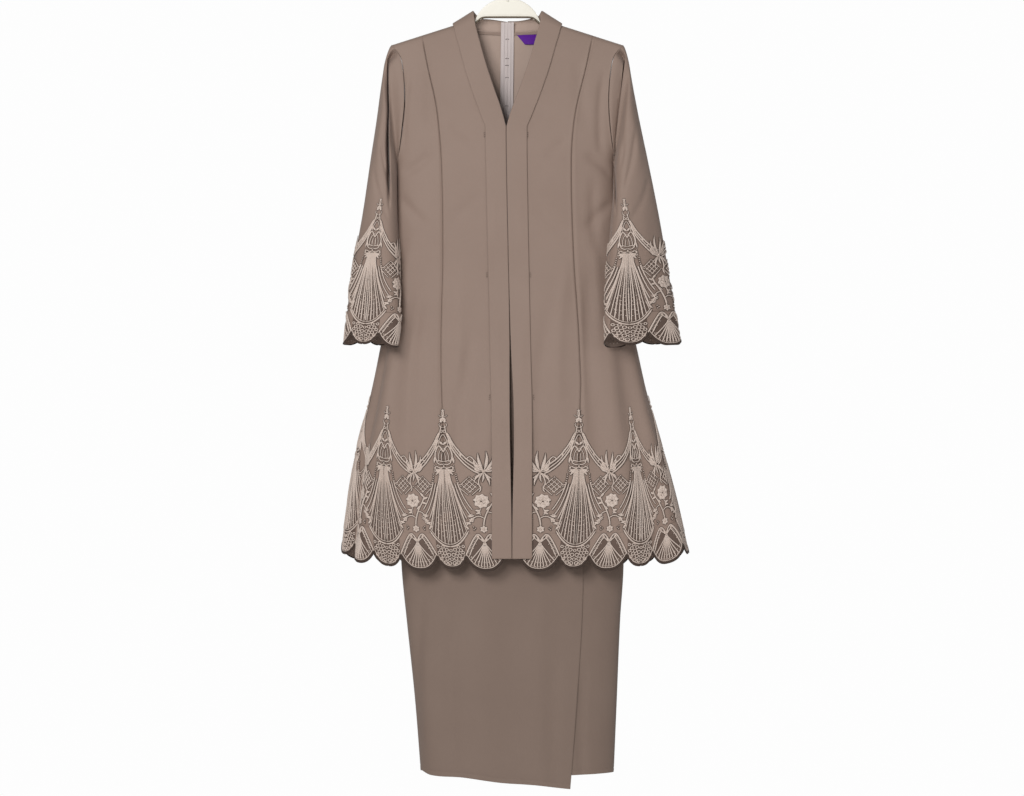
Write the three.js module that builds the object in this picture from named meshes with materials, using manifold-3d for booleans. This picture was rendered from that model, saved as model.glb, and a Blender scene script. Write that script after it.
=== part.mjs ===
// A kebaya set on its hanger: a long tunic kebaya with a V-neck band, two flat front bands, princess seams,
// set-in sleeves and scalloped lace at the hem and cuffs, over a wrap-front skirt that hangs by ribbon loops.
//
// Millimetres, +Z up, the front faces -Y. Left and right are as seen from the front (-X and +X).
// The origin is where a rail bears under the top of the hook. A "drop" is a distance straight down from there.
// Every cloth wall is worked out from a surface: a point on it, and the direction out of the cloth there.
import * as THREE from "three";
import { mergeVertices } from "three/addons/utils/BufferGeometryUtils.js";
import Module from "manifold-3d";

// ---------------------------------------------------------------- sizes that drive the whole set
const CLOTH = 1.4; // the crepe cloth, one wall
const BAND_CLOTH = 2.2; // the folded double cloth of bands and collar
const SEAM = 0.3; // the gap between pieces at a seam
const LIFT = 0.5; // the gap between a piece and what it lies on
const LACE = 1.0; // the lace sheet
const CORD = 1.1; // how far the thick cords of the lace stand above the sheet

const SHOULDER = { x: 97, drop: 119, slope: 0.32, ridge: 9 }; // the seam at the neck, its slope, its rounding
const UNDERARM = 371; // drop of the underarm
const BAND_END = 1077; // drop of the plain ends of the front bands
const HEM = 1098; // drop of the lowest scallops at the front
const HEM_RISE = 24; // how much higher the hem sits at the sides
const CLOTH_EDGE = 60; // the cloth ends this far above the scallops
const LACE_TOP = 290; // the tips of the spires above the scallops
const SQUARE = 0.8; // below 1 the body's sections are squarer than an ellipse

// The body's sections: the line of the front opening, the widths to the left and right of it, and the depths.
const BODY = [
  { drop: 100, middle: -2.6, left: 232, right: 232, front: 30, back: 26 },
  { drop: 254, middle: -4.2, left: 226, right: 222, front: 34, back: 30 },
  { drop: 310, middle: -5, left: 212, right: 208, front: 37, back: 33 },
  { drop: 371, middle: -4.4, left: 198, right: 193, front: 40, back: 36 },
  { drop: 516, middle: -1.6, left: 204, right: 202, front: 42, back: 38 },
  { drop: 614, middle: 0.6, left: 216, right: 211, front: 45, back: 42 },
  { drop: 722, middle: 2.8, left: 236, right: 230, front: 51, back: 47 },
  { drop: 794, middle: 4.6, left: 252, right: 244, front: 57, back: 52 },
  { drop: 884, middle: 5.4, left: 274, right: 267, front: 66, back: 60 },
  { drop: 974, middle: 5.4, left: 288, right: 291, front: 75, back: 69 },
  { drop: 1098, middle: 5.4, left: 302, right: 318, front: 86, back: 79 },
];

// Soft hanging folds of the kebaya: where round the body they lie, how wide they are, and how far they swell
// out (or sink, below 0) at the hem. They fade out upwards.
const FOLDS_FROM = 470;
const FOLDS = [
  { side: -1, degrees: 34, spread: 10, swell: -4 },
  { side: -1, degrees: 58, spread: 9, swell: 8 },
  { side: -1, degrees: 75, spread: 8, swell: -13 },
  { side: -1, degrees: 97, spread: 10, swell: 9 },
  { side: -1, degrees: 121, spread: 10, swell: -9 },
  { side: -1, degrees: 146, spread: 11, swell: 6 },
  { side: 1, degrees: 41, spread: 9, swell: 5 },
  { side: 1, degrees: 56, spread: 8, swell: -9 },
  { side: 1, degrees: 71, spread: 8, swell: 7 },
  { side: 1, degrees: 92, spread: 10, swell: 5 },
  { side: 1, degrees: 113, spread: 10, swell: -10 },
  { side: 1, degrees: 140, spread: 11, swell: 7 },
];

// Seams of the kebaya, as distances from the middle at each drop.
const FRONT_PRINCESS = [
  { drop: 130, x: 155 },
  { drop: 190, x: 143.5 },
  { drop: 276, x: 124.5 },
  { drop: 362, x: 117 },
  { drop: 535, x: 117.5 },
  { drop: 664, x: 123.5 },
  { drop: 800, x: 126 },
];
const BACK_PRINCESS = [
  { drop: 130, x: 150 },
  { drop: 240, x: 126 },
  { drop: 371, x: 112 },
  { drop: 535, x: 108 },
  { drop: 664, x: 114 },
  { drop: 800, x: 123 },
];
const ARMHOLE = [
  { drop: 155, x: 208 },
  { drop: 163, x: 201 },
  { drop: 178, x: 191.5 },
  { drop: 212, x: 185.5 },
  { drop: 258, x: 183.5 },
  { drop: 303, x: 187 },
  { drop: 345, x: 192.5 },
  { drop: 371, x: 198 },
];
const FRONT_EDGE = [
  { drop: 116, x: 88 },
  { drop: 171, x: 74 },
  { drop: 214, x: 62 },
  { drop: 258, x: 46 },
  { drop: 301, x: 29 },
  { drop: 335, x: 13 },
  { drop: 371, x: 10 },
  { drop: 1100, x: 10 },
];

// ---------------------------------------------------------------- small tools
const clamp = (value, low, high) => Math.min(high, Math.max(low, value));
const lerp = (a, b, t) => a + (b - a) * t;
const ease = (t) => {
  const c = clamp(t, 0, 1);
  return c * c * (3 - 2 * c);
};
const radians = THREE.MathUtils.degToRad;

// A smooth curve through one named column of a table.
function curve(table, along, name) {
  const slope = (i) => {
    const before = table[Math.max(i - 1, 0)];
    const after = table[Math.min(i + 1, table.length - 1)];
    return (after[name] - before[name]) / (after[along] - before[along]);
  };
  return (value) => {
    let i = 0;
    while (i < table.length - 2 && value > table[i + 1][along]) i += 1;
    const span = table[i + 1][along] - table[i][along];
    const t = clamp((value - table[i][along]) / span, 0, 1);
    const [t2, t3] = [t * t, t * t * t];
    return (
      table[i][name] * (2 * t3 - 3 * t2 + 1) +
      table[i + 1][name] * (3 * t2 - 2 * t3) +
      slope(i) * span * (t3 - 2 * t2 + t) +
      slope(i + 1) * span * (t3 - t2)
    );
  };
}

// A closed solid from a sheet: points are {out, in} pairs, faces are triangles of point numbers seen from outside.
// Every open edge of the sheet, round its outline and its holes, gets a wall between the two sides.
function sheetSolid(points, faces) {
  const count = points.length;
  const positions = [];
  for (const side of ["out", "in"]) points.forEach((p) => positions.push(...p[side].toArray()));
  const index = [];
  const edges = new Map();
  for (const [a, b, c] of faces) {
    index.push(a, b, c, a + count, c + count, b + count);
    for (const [from, to] of [[a, b], [b, c], [c, a]]) {
      if (edges.has(`${to},${from}`)) edges.delete(`${to},${from}`);
      else edges.set(`${from},${to}`, [from, to]);
    }
  }
  for (const [from, to] of edges.values()) {
    index.push(to, from, from + count, to, from + count, to + count);
  }
  const geometry = new THREE.BufferGeometry();
  geometry.setAttribute("position", new THREE.Float32BufferAttribute(positions, 3));
  geometry.setIndex(index);
  const flat = geometry.toNonIndexed();
  flat.computeVertexNormals();
  return flat;
}

// Triangles between two rows of points whose keys rise along the row. The rows may have different counts.
function zip(upper, lower) {
  const faces = [];
  let [i, j] = [0, 0];
  while (i < upper.length - 1 || j < lower.length - 1) {
    const upperNext = i < upper.length - 1 ? upper[i + 1].key : Infinity;
    const lowerNext = j < lower.length - 1 ? lower[j + 1].key : Infinity;
    if (upperNext < lowerNext) {
      faces.push([upper[i].id, lower[j].id, upper[i + 1].id]);
      i += 1;
    } else {
      faces.push([upper[i].id, lower[j].id, lower[j + 1].id]);
      j += 1;
      if (upperNext === lowerNext) {
        faces.push([upper[i].id, lower[j].id, upper[i + 1].id]);
        i += 1;
      }
    }
  }
  return faces;
}

// The triangles of a sheet from rows of {key, out, in}, top row first, keys rising away from the centre front.
// On the left (side -1) the triangles are turned over. Closed rows join up into a tube.
function rowFaces(points, rows, side, closed, isGap = () => false) {
  const numbered = rows.map((row) => {
    const ids = row.map((point) => ({ key: point.key, id: points.push(point) - 1 }));
    return closed ? [...ids, { key: ids[0].key + 1, id: ids[0].id }] : ids;
  });
  const faces = [];
  for (let r = 0; r + 1 < numbered.length; r += 1) {
    for (const face of zip(numbered[r], numbered[r + 1])) {
      const keys = face.map((id) => points[id].key);
      if (isGap(r, Math.min(...keys), Math.max(...keys))) continue;
      faces.push(side < 0 ? face.toReversed() : face);
    }
  }
  return { faces, numbered };
}
function rowsSolid(rows, side, closed = false) {
  const points = [];
  const { faces } = rowFaces(points, rows, side, closed);
  return sheetSolid(points, faces);
}

const set = new THREE.Group();
set.name = "kebaya_set";
function piece(name, geometry, material) {
  const mesh = new THREE.Mesh(geometry, material);
  mesh.name = name;
  set.add(mesh);
  return mesh;
}

const crepe = new THREE.MeshStandardMaterial({ color: 0x93806f, roughness: 0.62, metalness: 0 });
const laceThread = new THREE.MeshStandardMaterial({ color: 0xb9a597, roughness: 0.7, metalness: 0 });
const tapeCloth = new THREE.MeshStandardMaterial({ color: 0xbfb3ab, roughness: 0.8, metalness: 0 });
const labelCloth = new THREE.MeshStandardMaterial({ color: 0x4b1d80, roughness: 0.6, metalness: 0 });
const creamPlastic = new THREE.MeshStandardMaterial({ color: 0xf3efe3, roughness: 0.35, metalness: 0 });
const zipMetal = new THREE.MeshStandardMaterial({ color: 0x8f7f74, roughness: 0.4, metalness: 0.6 });
const sideName = (side) => (side < 0 ? "left" : "right");

// ---------------------------------------------------------------- the kebaya's body surface
const bodyHalves = { "-1": curve(BODY, "drop", "left"), "1": curve(BODY, "drop", "right") };
const bodyHalf = (side, drop) => bodyHalves[side](drop);
const bodyFront = curve(BODY, "drop", "front");
const bodyBack = curve(BODY, "drop", "back");
const bodyMiddle = curve(BODY, "drop", "middle");
const shoulderDrop = (x) => SHOULDER.drop + (x - SHOULDER.x) * SHOULDER.slope;
const DRAPE = 60; // the cloth reaches two thirds of its depth this far below the shoulder ridge

// turn is 0 at the centre front, a half turn at the centre back.
function plainBody(side, turn, drop) {
  const across = bodyHalf(side, drop) * Math.pow(Math.abs(Math.sin(turn)), SQUARE);
  const facing = Math.cos(turn);
  const reach = Math.pow(Math.abs(facing), SQUARE);
  const below = Math.max(0, drop - shoulderDrop(across));
  const round = 1 - Math.min(below, SHOULDER.ridge) / SHOULDER.ridge;
  const ridge = SHOULDER.ridge * Math.sqrt(1 - round * round) * (1 - Math.pow(1 - reach, 3));
  const depth = (facing > 0 ? bodyFront(drop) : bodyBack(drop)) - SHOULDER.ridge;
  const out = ridge + depth * (1 - Math.exp(-below / DRAPE)) * reach;
  return new THREE.Vector3(bodyMiddle(drop) + side * across, -Math.sign(facing) * out, -drop);
}

function outward(surface, side, turn, drop) {
  const step = 0.01;
  const along = surface(side, turn + step, drop).sub(surface(side, turn - step, drop));
  const down = surface(side, turn, drop + 2).sub(surface(side, turn, drop - 2));
  return along.cross(down).multiplyScalar(-side).normalize();
}

function foldSwell(side, turn, drop) {
  const grown = ease((drop - FOLDS_FROM) / (HEM - FOLDS_FROM));
  let swell = 0;
  for (const fold of FOLDS) {
    if (fold.side !== side) continue;
    const away = (turn - radians(fold.degrees)) / radians(fold.spread);
    swell += fold.swell * Math.exp(-away * away);
  }
  return swell * grown;
}

function foldedBody(side, turn, drop) {
  const swell = foldSwell(side, turn, drop);
  if (Math.abs(swell) < 1e-6) return plainBody(side, turn, drop);
  return plainBody(side, turn, drop).addScaledVector(outward(plainBody, side, turn, drop), swell);
}

// A point of the body, moved out of the cloth by lift.
function bodyPoint(side, turn, drop, lift = 0) {
  const inside = clamp(turn, 0.012, Math.PI - 0.012); // the direction out is taken just off the centre lines
  return foldedBody(side, turn, drop).addScaledVector(outward(foldedBody, side, inside, drop), lift);
}

// Turns by share of the half girth, 0 at the centre front and 1 at the centre back.
const girths = new Map();
function halfGirth(side, drop) {
  const key = `${side} ${drop.toFixed(1)}`;
  if (!girths.has(key)) {
    const steps = 120;
    const lengths = [0];
    let last = foldedBody(side, 0, drop);
    for (let i = 1; i <= steps; i += 1) {
      const next = foldedBody(side, (Math.PI * i) / steps, drop);
      lengths.push(lengths[i - 1] + next.distanceTo(last));
      last = next;
    }
    girths.set(key, lengths);
  }
  return girths.get(key);
}
function turnAt(side, drop, share) {
  const lengths = halfGirth(side, drop);
  const steps = lengths.length - 1;
  const wanted = share * lengths[steps];
  let i = 1;
  while (i < steps && lengths[i] < wanted) i += 1;
  return (Math.PI * (i - 1 + (wanted - lengths[i - 1]) / (lengths[i] - lengths[i - 1]))) / steps;
}
const turnOf = (side, x, drop) => Math.asin(Math.pow(clamp(x / bodyHalf(side, drop), 0, 1), 1 / SQUARE));

// ---------------------------------------------------------------- the lace: fans and small scallops in turn
const FAN = 67;
const SMALL = 50;
const OPENING = 12; // plain cloth between the centre front and the first fan
const UNIT = {
  fan: { width: FAN, low: 0, dip: 25, bars: [0.06, 0.3, 0.37, 0.63, 0.7, 0.94] },
  small: { width: SMALL, low: 4, dip: 21, bars: [0.07, 0.3, 0.37, 0.63, 0.7, 0.93] },
};
// Heights of the lace's rows above the lowest scallops, and the lines that run up it at shares of a unit.
const BORDER = 5;
const CELL_ROWS = [33, 36, 53];
const UPPER_ROWS = [CLOTH_EDGE, 112, 182];
const LINES = { fan: [0.5], small: [0.32, 0.5, 0.68] };
const SPIRE_ROOM = 0.8; // more room behind the tips of the spires
const SPIRE = [
  { rise: 0, half: 9 },
  { rise: 0.21, half: 9 },
  { rise: 0.54, half: 4.5 },
  { rise: 1, half: 0 },
];

// Units in a row from start: each with its first edge, its kind and its width.
function unitRow(kinds, start, widths) {
  const units = [];
  let at = start;
  for (const kind of kinds) {
    units.push({ kind, start: at, width: widths[kind] });
    at += widths[kind];
  }
  return units;
}
const lineOf = (unit, share) => unit.start + unit.width * share;

// The lower edge of a scallop, as a height above the lowest one.
const scallop = (unit, share) => UNIT[unit.kind].low + UNIT[unit.kind].dip * Math.abs(2 * share - 1) ** 2.6;

// The lines of the lace between two places, from the shares that linesOf gives for each kind of unit.
function laceLines(units, from, to, sharesOf) {
  const lines = [];
  for (const unit of units) {
    for (const share of [0, ...sharesOf(unit.kind), 1]) {
      const u = lineOf(unit, share);
      const known = lines.some((line) => Math.abs(line.u - u) < 1e-6);
      if (u > from - 1e-6 && u < to + 1e-6 && !known) lines.push({ u, unit, share });
    }
  }
  return lines.sort((a, b) => a.u - b.u);
}

// The lace from one place to another. at(u, height, lift) gives a point of what it lies on, moved out by lift.
function laceSolid(units, from, to, spireTop, side, at) {
  const top = UPPER_ROWS.at(-1);
  const make = (u, height, raised = 0) => {
    const inside = clamp(u, from + SEAM / 2, to - SEAM / 2);
    const lift = LIFT + SPIRE_ROOM * clamp((height - top) / (spireTop - top), 0, 1);
    return { key: u, out: at(inside, height, lift + LACE + raised), in: at(inside, height, lift) };
  };
  const fine = laceLines(units, from, to, (kind) => UNIT[kind].bars.concat(0.5));
  const coarse = laceLines(units, from, to, (kind) => LINES[kind]);
  const isMiddle = (line, kind) => line.unit.kind === kind && Math.abs(line.share - 0.5) < 0.01;
  const rows = UPPER_ROWS.toReversed().map((height) =>
    coarse.map((line) => {
      const raised = isMiddle(line, "small") || (isMiddle(line, "fan") && height < top);
      return make(line.u, height, raised ? CORD : CORD / 3);
    }),
  );
  for (const height of CELL_ROWS.toReversed()) rows.push(fine.map(({ u }) => make(u, height, CORD / 2)));
  for (const above of [BORDER, 0]) {
    rows.push(fine.map(({ u, unit, share }) => make(u, scallop(unit, share) + above, CORD)));
  }

  // Gaps: every other span between the bars of a unit, in the two rows of cells.
  const cellRows = [UPPER_ROWS.length, UPPER_ROWS.length + 2];
  const spans = units.flatMap((unit) => {
    const { bars } = UNIT[unit.kind];
    return bars.filter((_, i) => i % 2 === 0).map((bar, i) => [bar, bars[2 * i + 1]].map((b) => lineOf(unit, b)));
  });
  const isGap = (row, low, high) =>
    cellRows.includes(row) && spans.some(([a, b]) => low > a - 1e-6 && high < b + 1e-6);
  const points = [];
  const { faces, numbered } = rowFaces(points, rows, side, false, isGap);

  // A spire stands on the top row over the middle of each small scallop, or half of one beside an edge.
  const idAt = (u) => numbered[0].find((point) => Math.abs(point.key - u) < 1e-6)?.id;
  for (const unit of units.filter(({ kind }) => kind === "small")) {
    const centre = lineOf(unit, 0.5);
    if (idAt(centre) === undefined) continue;
    const heights = SPIRE.map(({ rise }) => lerp(top, spireTop, rise));
    const axis = heights.map((height, i) =>
      i === 0 ? idAt(centre) : points.push(make(centre, height, i === 3 ? 0 : CORD)) - 1,
    );
    for (const way of [-1, 1]) {
      const foot = idAt(lineOf(unit, LINES.small[way < 0 ? 0 : 2]));
      if (foot === undefined) continue;
      const rim = [foot];
      for (const i of [1, 2]) {
        const u = centre + (way * SPIRE[i].half * unit.width) / SMALL;
        rim.push(points.push(make(u, heights[i], CORD / 3)) - 1);
      }
      const loops = [
        [rim[0], axis[0], axis[1]],
        [rim[0], axis[1], rim[1]],
        [rim[1], axis[1], axis[2]],
        [rim[1], axis[2], rim[2]],
        [rim[2], axis[2], axis[3]],
      ];
      faces.push(...loops.map((loop) => (way * side < 0 ? loop : loop.toReversed())));
    }
  }
  return sheetSolid(points, faces);
}

// The hem lace runs from each side of the front opening round to the centre back.
const HALF_KINDS = ["fan", "small", "fan", "small", "fan", "small", "fan", "small", "fan", "small", "fan", "small"];
const HALF_DRAWN = OPENING + 6 * FAN + 5.5 * SMALL;
const hemScale = (side) => halfGirth(side, HEM).at(-1) / HALF_DRAWN;
function hemUnits(side) {
  const scale = hemScale(side);
  return unitRow(HALF_KINDS, OPENING * scale, { fan: FAN * scale, small: SMALL * scale });
}

// Where a line of the lace lies at the tips of the spires, as shares of the half girth: the front and back hang
// straight, so the lines close up towards the sides.
const LEAN = [
  { hem: 0, top: 0 },
  { hem: 0.151, top: 0.219 },
  { hem: 0.321, top: 0.395 },
  { hem: 0.491, top: 0.5 },
  { hem: 0.66, top: 0.605 },
  { hem: 0.83, top: 0.785 },
  { hem: 1, top: 1 },
];
const leanTop = curve(LEAN, "hem", "top");
function hemPlace(side, u, height) {
  const share = u / halfGirth(side, HEM).at(-1);
  const hemTurn = turnAt(side, HEM, share);
  const drop = HEM - HEM_RISE * Math.pow(Math.sin(hemTurn), 4) - height;
  return { drop, turn: turnAt(side, drop, lerp(share, leanTop(share), height / LACE_TOP)) };
}

// ---------------------------------------------------------------- the kebaya's cloth panels
const DOWN_STEPS = [0, 0.012, 0.04, 0.1, 0.22, 0.42, 0.68, 0.88, 1]; // shares of the way, shoulder to underarm
const LOWER_DROPS = [440, 516, 614, 700, 760];
const CLOTH_HEIGHTS = [240, ...UPPER_ROWS.toReversed()];
const NECK_BACK = 123; // drop of the back's neck edge at the centre back, under the collar

const PANELS = {
  front_centre: { from: "edge", to: "frontPrincess" },
  front_side: { from: "frontPrincess", to: "side" },
  back_side: { from: "backPrincess", to: "side" },
  back_centre: { from: "centreBack", to: "backPrincess" },
};
const seamX = {
  edge: curve(FRONT_EDGE, "drop", "x"),
  frontPrincess: curve(FRONT_PRINCESS, "drop", "x"),
  backPrincess: curve(BACK_PRINCESS, "drop", "x"),
  side: curve(ARMHOLE, "drop", "x"),
};

// Where each seam meets the hem, along the lace from the centre front.
function seamU(side, seam) {
  if (seam === "centreBack") return halfGirth(side, HEM).at(-1);
  const places = { edge: [0, -0.03], frontPrincess: [1, 0.5], side: [5, 0.5], backPrincess: [9, 0.5] };
  const [number, share] = places[seam];
  return lineOf(hemUnits(side)[number], share);
}

// The turn of a seam at a drop. The armhole stands in for the side seam above the underarm.
function seamTurn(side, seam, drop, isBack) {
  if (seam === "centreBack") return Math.PI;
  const onSide = seam === "side" && drop >= UNDERARM;
  const turn = onSide ? Math.PI / 2 : turnOf(side, seamX[seam](drop), drop);
  return isBack ? Math.PI - turn : turn;
}
function topDrop(x, isBack) {
  if (!isBack || x > FRONT_EDGE[0].x) return shoulderDrop(x);
  const { x: neckX } = FRONT_EDGE[0];
  return NECK_BACK - (NECK_BACK - shoulderDrop(neckX)) * (x / neckX) ** 2;
}

// A point between two seams, at a share of the way from the shoulder or neck down to the underarm.
function upperPlace(side, panel, across, step, isBack) {
  let drop = lerp(SHOULDER.drop, UNDERARM, step);
  let turn = 0;
  for (let i = 0; i < 16; i += 1) {
    turn = lerp(
      seamTurn(side, panel.from, drop, isBack),
      seamTurn(side, panel.to, drop, isBack),
      across,
    );
    const x = bodyHalf(side, drop) * Math.pow(Math.sin(turn), SQUARE);
    drop = lerp(topDrop(x, isBack), UNDERARM, step);
  }
  return { turn, drop };
}

// The two faces of the cloth at a place. aside moves them along the cloth, away from the centre front.
// On the shoulder line the wall stands upright, half a seam before or behind it.
function clothWall(side, turn, drop, aside, shoulder) {
  const moved = turn + aside / bodyHalf(side, drop);
  const wall = { out: bodyPoint(side, moved, drop), in: bodyPoint(side, moved, drop, -CLOTH) };
  if (shoulder) {
    wall.in = wall.out.clone().add(new THREE.Vector3(0, 0, -CLOTH));
    for (const face of [wall.out, wall.in]) face.y = (shoulder * SEAM) / 2;
  }
  return wall;
}

function panelRows(side, name) {
  const panel = PANELS[name];
  const isBack = name.startsWith("back");
  const ends = [seamU(side, panel.from), seamU(side, panel.to)];
  const [start, end] = ends.toSorted((a, b) => a - b);
  const lines = [{ u: start, aside: SEAM / 2 }];
  for (const unit of hemUnits(side)) {
    for (const share of [0, ...LINES[unit.kind]]) {
      const u = lineOf(unit, share);
      const fine = unit.kind === "small" && share > 0 && share !== 0.5;
      if (u > start + 1 && u < end - 1) lines.push({ u, fine, aside: 0 });
    }
  }
  lines.push({ u: end, aside: -SEAM / 2 });
  const few = lines.filter((line) => !line.fine);
  const acrossOf = (line) => (line.u - ends[0]) / (ends[1] - ends[0]);
  const rows = DOWN_STEPS.map((step, i) =>
    few.map((line) => {
      const { turn, drop } = upperPlace(side, panel, acrossOf(line), step, isBack);
      const x = bodyHalf(side, drop) * Math.pow(Math.sin(turn), SQUARE);
      const onShoulder = i === 0 && x > FRONT_EDGE[0].x - 0.1;
      const shoulder = onShoulder ? (isBack ? 1 : -1) : 0;
      return { key: line.u, ...clothWall(side, turn, drop, line.aside, shoulder) };
    }),
  );
  for (const drop of LOWER_DROPS) {
    rows.push(
      few.map((line) => {
        const turns = [seamTurn(side, panel.from, drop, isBack), seamTurn(side, panel.to, drop, isBack)];
        const turn = lerp(turns[0], turns[1], acrossOf(line));
        return { key: line.u, ...clothWall(side, turn, drop, line.aside, 0) };
      }),
    );
  }
  for (const height of CLOTH_HEIGHTS) {
    rows.push(
      lines.map((line) => {
        const { drop, turn } = hemPlace(side, line.u, height);
        return { key: line.u, ...clothWall(side, turn, drop, line.aside, 0) };
      }),
    );
  }
  return rows;
}

for (const side of [-1, 1]) {
  for (const name of Object.keys(PANELS)) {
    piece(`${name}_${sideName(side)}`, rowsSolid(panelRows(side, name), side), crepe);
  }
}

// ---------------------------------------------------------------- front bands: folded strips down the opening
const BAND = [
  { drop: 304, edge: 1.0, outer: 37.6, lift: 0 },
  { drop: 371, edge: 1.0, outer: 37.2, lift: 0 },
  { drop: 440, edge: 1.0, outer: 37.0, lift: 0 },
  { drop: 516, edge: 1.0, outer: 36.8, lift: 0 },
  { drop: 614, edge: 1.0, outer: 36.6, lift: 0 },
  { drop: 700, edge: 1.5, outer: 36.6, lift: 0 },
  { drop: 760, edge: 2.6, outer: 36.6, lift: 0 },
  { drop: 830, edge: 3.6, outer: 36.5, lift: 0.6 },
  { drop: 890, edge: 3.1, outer: 36.2, lift: 3.2 },
  { drop: 960, edge: 1.6, outer: 36, lift: 3.2 },
  { drop: 1020, edge: 1.1, outer: 36, lift: 3.2 },
  { drop: BAND_END, edge: 1.0, outer: 36, lift: 3.2 },
];
const BAND_COLUMNS = [0, 0.33, 0.67, 1];
for (const side of [-1, 1]) {
  const rows = BAND.map(({ drop, edge, outer, lift }) =>
    BAND_COLUMNS.map((column) => {
      const turn = turnOf(side, lerp(edge, outer, column), drop);
      return {
        key: column,
        out: bodyPoint(side, turn, drop, LIFT + lift + BAND_CLOTH),
        in: bodyPoint(side, turn, drop, LIFT + lift),
      };
    }),
  );
  piece(`front_band_${sideName(side)}`, rowsSolid(rows, side), crepe);
}

// ---------------------------------------------------------------- neckband: V to shoulder, then round the back
// A row for each stretch: the sewn edge and the free edge.
const NECKBAND = [
  { step: 0, seamDrop: 303, seamX: 37.6, edgeDrop: 303, edgeX: 1 },
  { step: 1, seamDrop: 279, seamX: 47.5, edgeDrop: 271, edgeX: 9.5 },
  { step: 2, seamDrop: 236, seamX: 63.5, edgeDrop: 230, edgeX: 24 },
  { step: 3, seamDrop: 193, seamX: 77.5, edgeDrop: 187, edgeX: 38.5 },
  { step: 4, seamDrop: 154, seamX: 88, edgeDrop: 143, edgeX: 51 },
  { step: 5, seamDrop: 132, seamX: 94, edgeDrop: 118, edgeX: 57.5 },
  { step: 6, seamDrop: 119, seamX: 97, edgeDrop: 96, edgeX: 60 },
  { step: 7, seamDrop: 125, seamX: 84, edgeDrop: 101, edgeX: 55 },
  { step: 8, seamDrop: 130, seamX: 56, edgeDrop: 107, edgeX: 40 },
  { step: 9, seamDrop: 133.5, seamX: 0, edgeDrop: 110.5, edgeX: 0 },
];
const SHOULDER_STEP = 6;
const STAND = 0.9; // more room under the neckband where it crosses the shoulder seam
const neckSeam = NECKBAND.map(({ step, seamX: x, seamDrop }) => ({
  step,
  x,
  root: Math.sign(step - SHOULDER_STEP) * Math.sqrt(seamDrop - shoulderDrop(x)),
}));
const neckSeamX = curve(neckSeam, "step", "x");
const neckSeamRoot = curve(neckSeam, "step", "root");
const neckEdgeX = curve(NECKBAND, "step", "edgeX");
const neckEdgeDrop = curve(NECKBAND, "step", "edgeDrop");

// The seam follows the body over the shoulder; the band rises from it, on the body again lower down the front.
function neckbandPlace(side, step, across) {
  const x = lerp(neckSeamX(step), neckEdgeX(step), across);
  const root = neckSeamRoot(step);
  const seamDrop = shoulderDrop(neckSeamX(step)) + root * root;
  const drop = lerp(seamDrop, neckEdgeDrop(step), across);
  const seamTurnHere = turnOf(side, neckSeamX(step), seamDrop);
  const seamPoint = plainBody(side, root > 0 ? Math.PI - seamTurnHere : seamTurnHere, seamDrop);
  const onBody = plainBody(side, turnOf(side, x, drop), drop);
  onBody.y = lerp(onBody.y, seamPoint.y, ease(step - 4));
  return onBody;
}
function neckbandWall(side, step, across) {
  const nudge = 0.04;
  const [from, to] = [Math.max(step - nudge, 0), Math.min(step + nudge, NECKBAND.length - 1)];
  const along = neckbandPlace(side, to, across).sub(neckbandPlace(side, from, across));
  const rise = neckbandPlace(side, step, 1).sub(neckbandPlace(side, step, 0));
  const outwards = rise.cross(along).multiplyScalar(-side).normalize();
  const base = neckbandPlace(side, step, across);
  const lift = LIFT + STAND * Math.exp(-((step - SHOULDER_STEP) ** 2));
  return {
    out: base.clone().addScaledVector(outwards, lift + BAND_CLOTH),
    in: base.clone().addScaledVector(outwards, lift),
  };
}
const NECKBAND_PARTS = {
  neckband_front: [0.008, 0.5, 1, 2, 3, 4, 4.6, 5, 5.33, 5.67, 5.985],
  neckband_back: [6.015, 6.33, 6.67, 7, 7.5, 8, 8.5, 8.995],
};
for (const side of [-1, 1]) {
  for (const [name, steps] of Object.entries(NECKBAND_PARTS)) {
    const rows = [0, 0.33, 0.67, 1].toReversed().map((across) =>
      steps.map((step) => ({ key: step, ...neckbandWall(side, step, across) })),
    );
    piece(`${name}_${sideName(side)}`, rowsSolid(rows, side), crepe);
  }
}

// ---------------------------------------------------------------- sleeves: from the armhole to the cuff
// The sleeve hangs from the shoulder. Its outer line starts at the shoulder point and its inner line under the
// arm, and every ring runs from one to the other round its front and its back. The rings tilt from the upright
// armhole to the level cuff. Depths are half the thickness of the hanging sleeve.
const SLEEVE = [
  { down: 0, outerDrop: 155, innerDrop: 371, outerY: 0, leftY: 0, rightY: 0, depth: 33 },
  { down: 0.06, outerDrop: 168, innerDrop: 376, outerY: 0, leftY: -2, rightY: -3, depth: 30 },
  { down: 0.14, outerDrop: 205, innerDrop: 388, outerY: -1, leftY: -8, rightY: -16, depth: 34 },
  { down: 0.25, outerDrop: 262, innerDrop: 412, outerY: -3, leftY: -18, rightY: -36, depth: 36 },
  { down: 0.4, outerDrop: 350, innerDrop: 462, outerY: -7, leftY: -36, rightY: -56, depth: 35 },
  { down: 0.6, outerDrop: 468, innerDrop: 540, outerY: -12, leftY: -52, rightY: -70, depth: 31 },
  { down: 0.8, outerDrop: 585, innerDrop: 622, outerY: -17, leftY: -65, rightY: -80, depth: 28 },
  { down: 1, outerDrop: 695, innerDrop: 700, outerY: -22, leftY: -74, rightY: -88, depth: 26 },
];
const SLEEVE_OUTER = [
  { drop: 155, left: 212, right: 209 },
  { drop: 168, left: 220, right: 213 },
  { drop: 218, left: 228.5, right: 221 },
  { drop: 290, left: 238, right: 234 },
  { drop: 362, left: 248.5, right: 248 },
  { drop: 470, left: 263, right: 268 },
  { drop: 578, left: 281, right: 286 },
  { drop: 700, left: 293, right: 307 },
];
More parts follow.
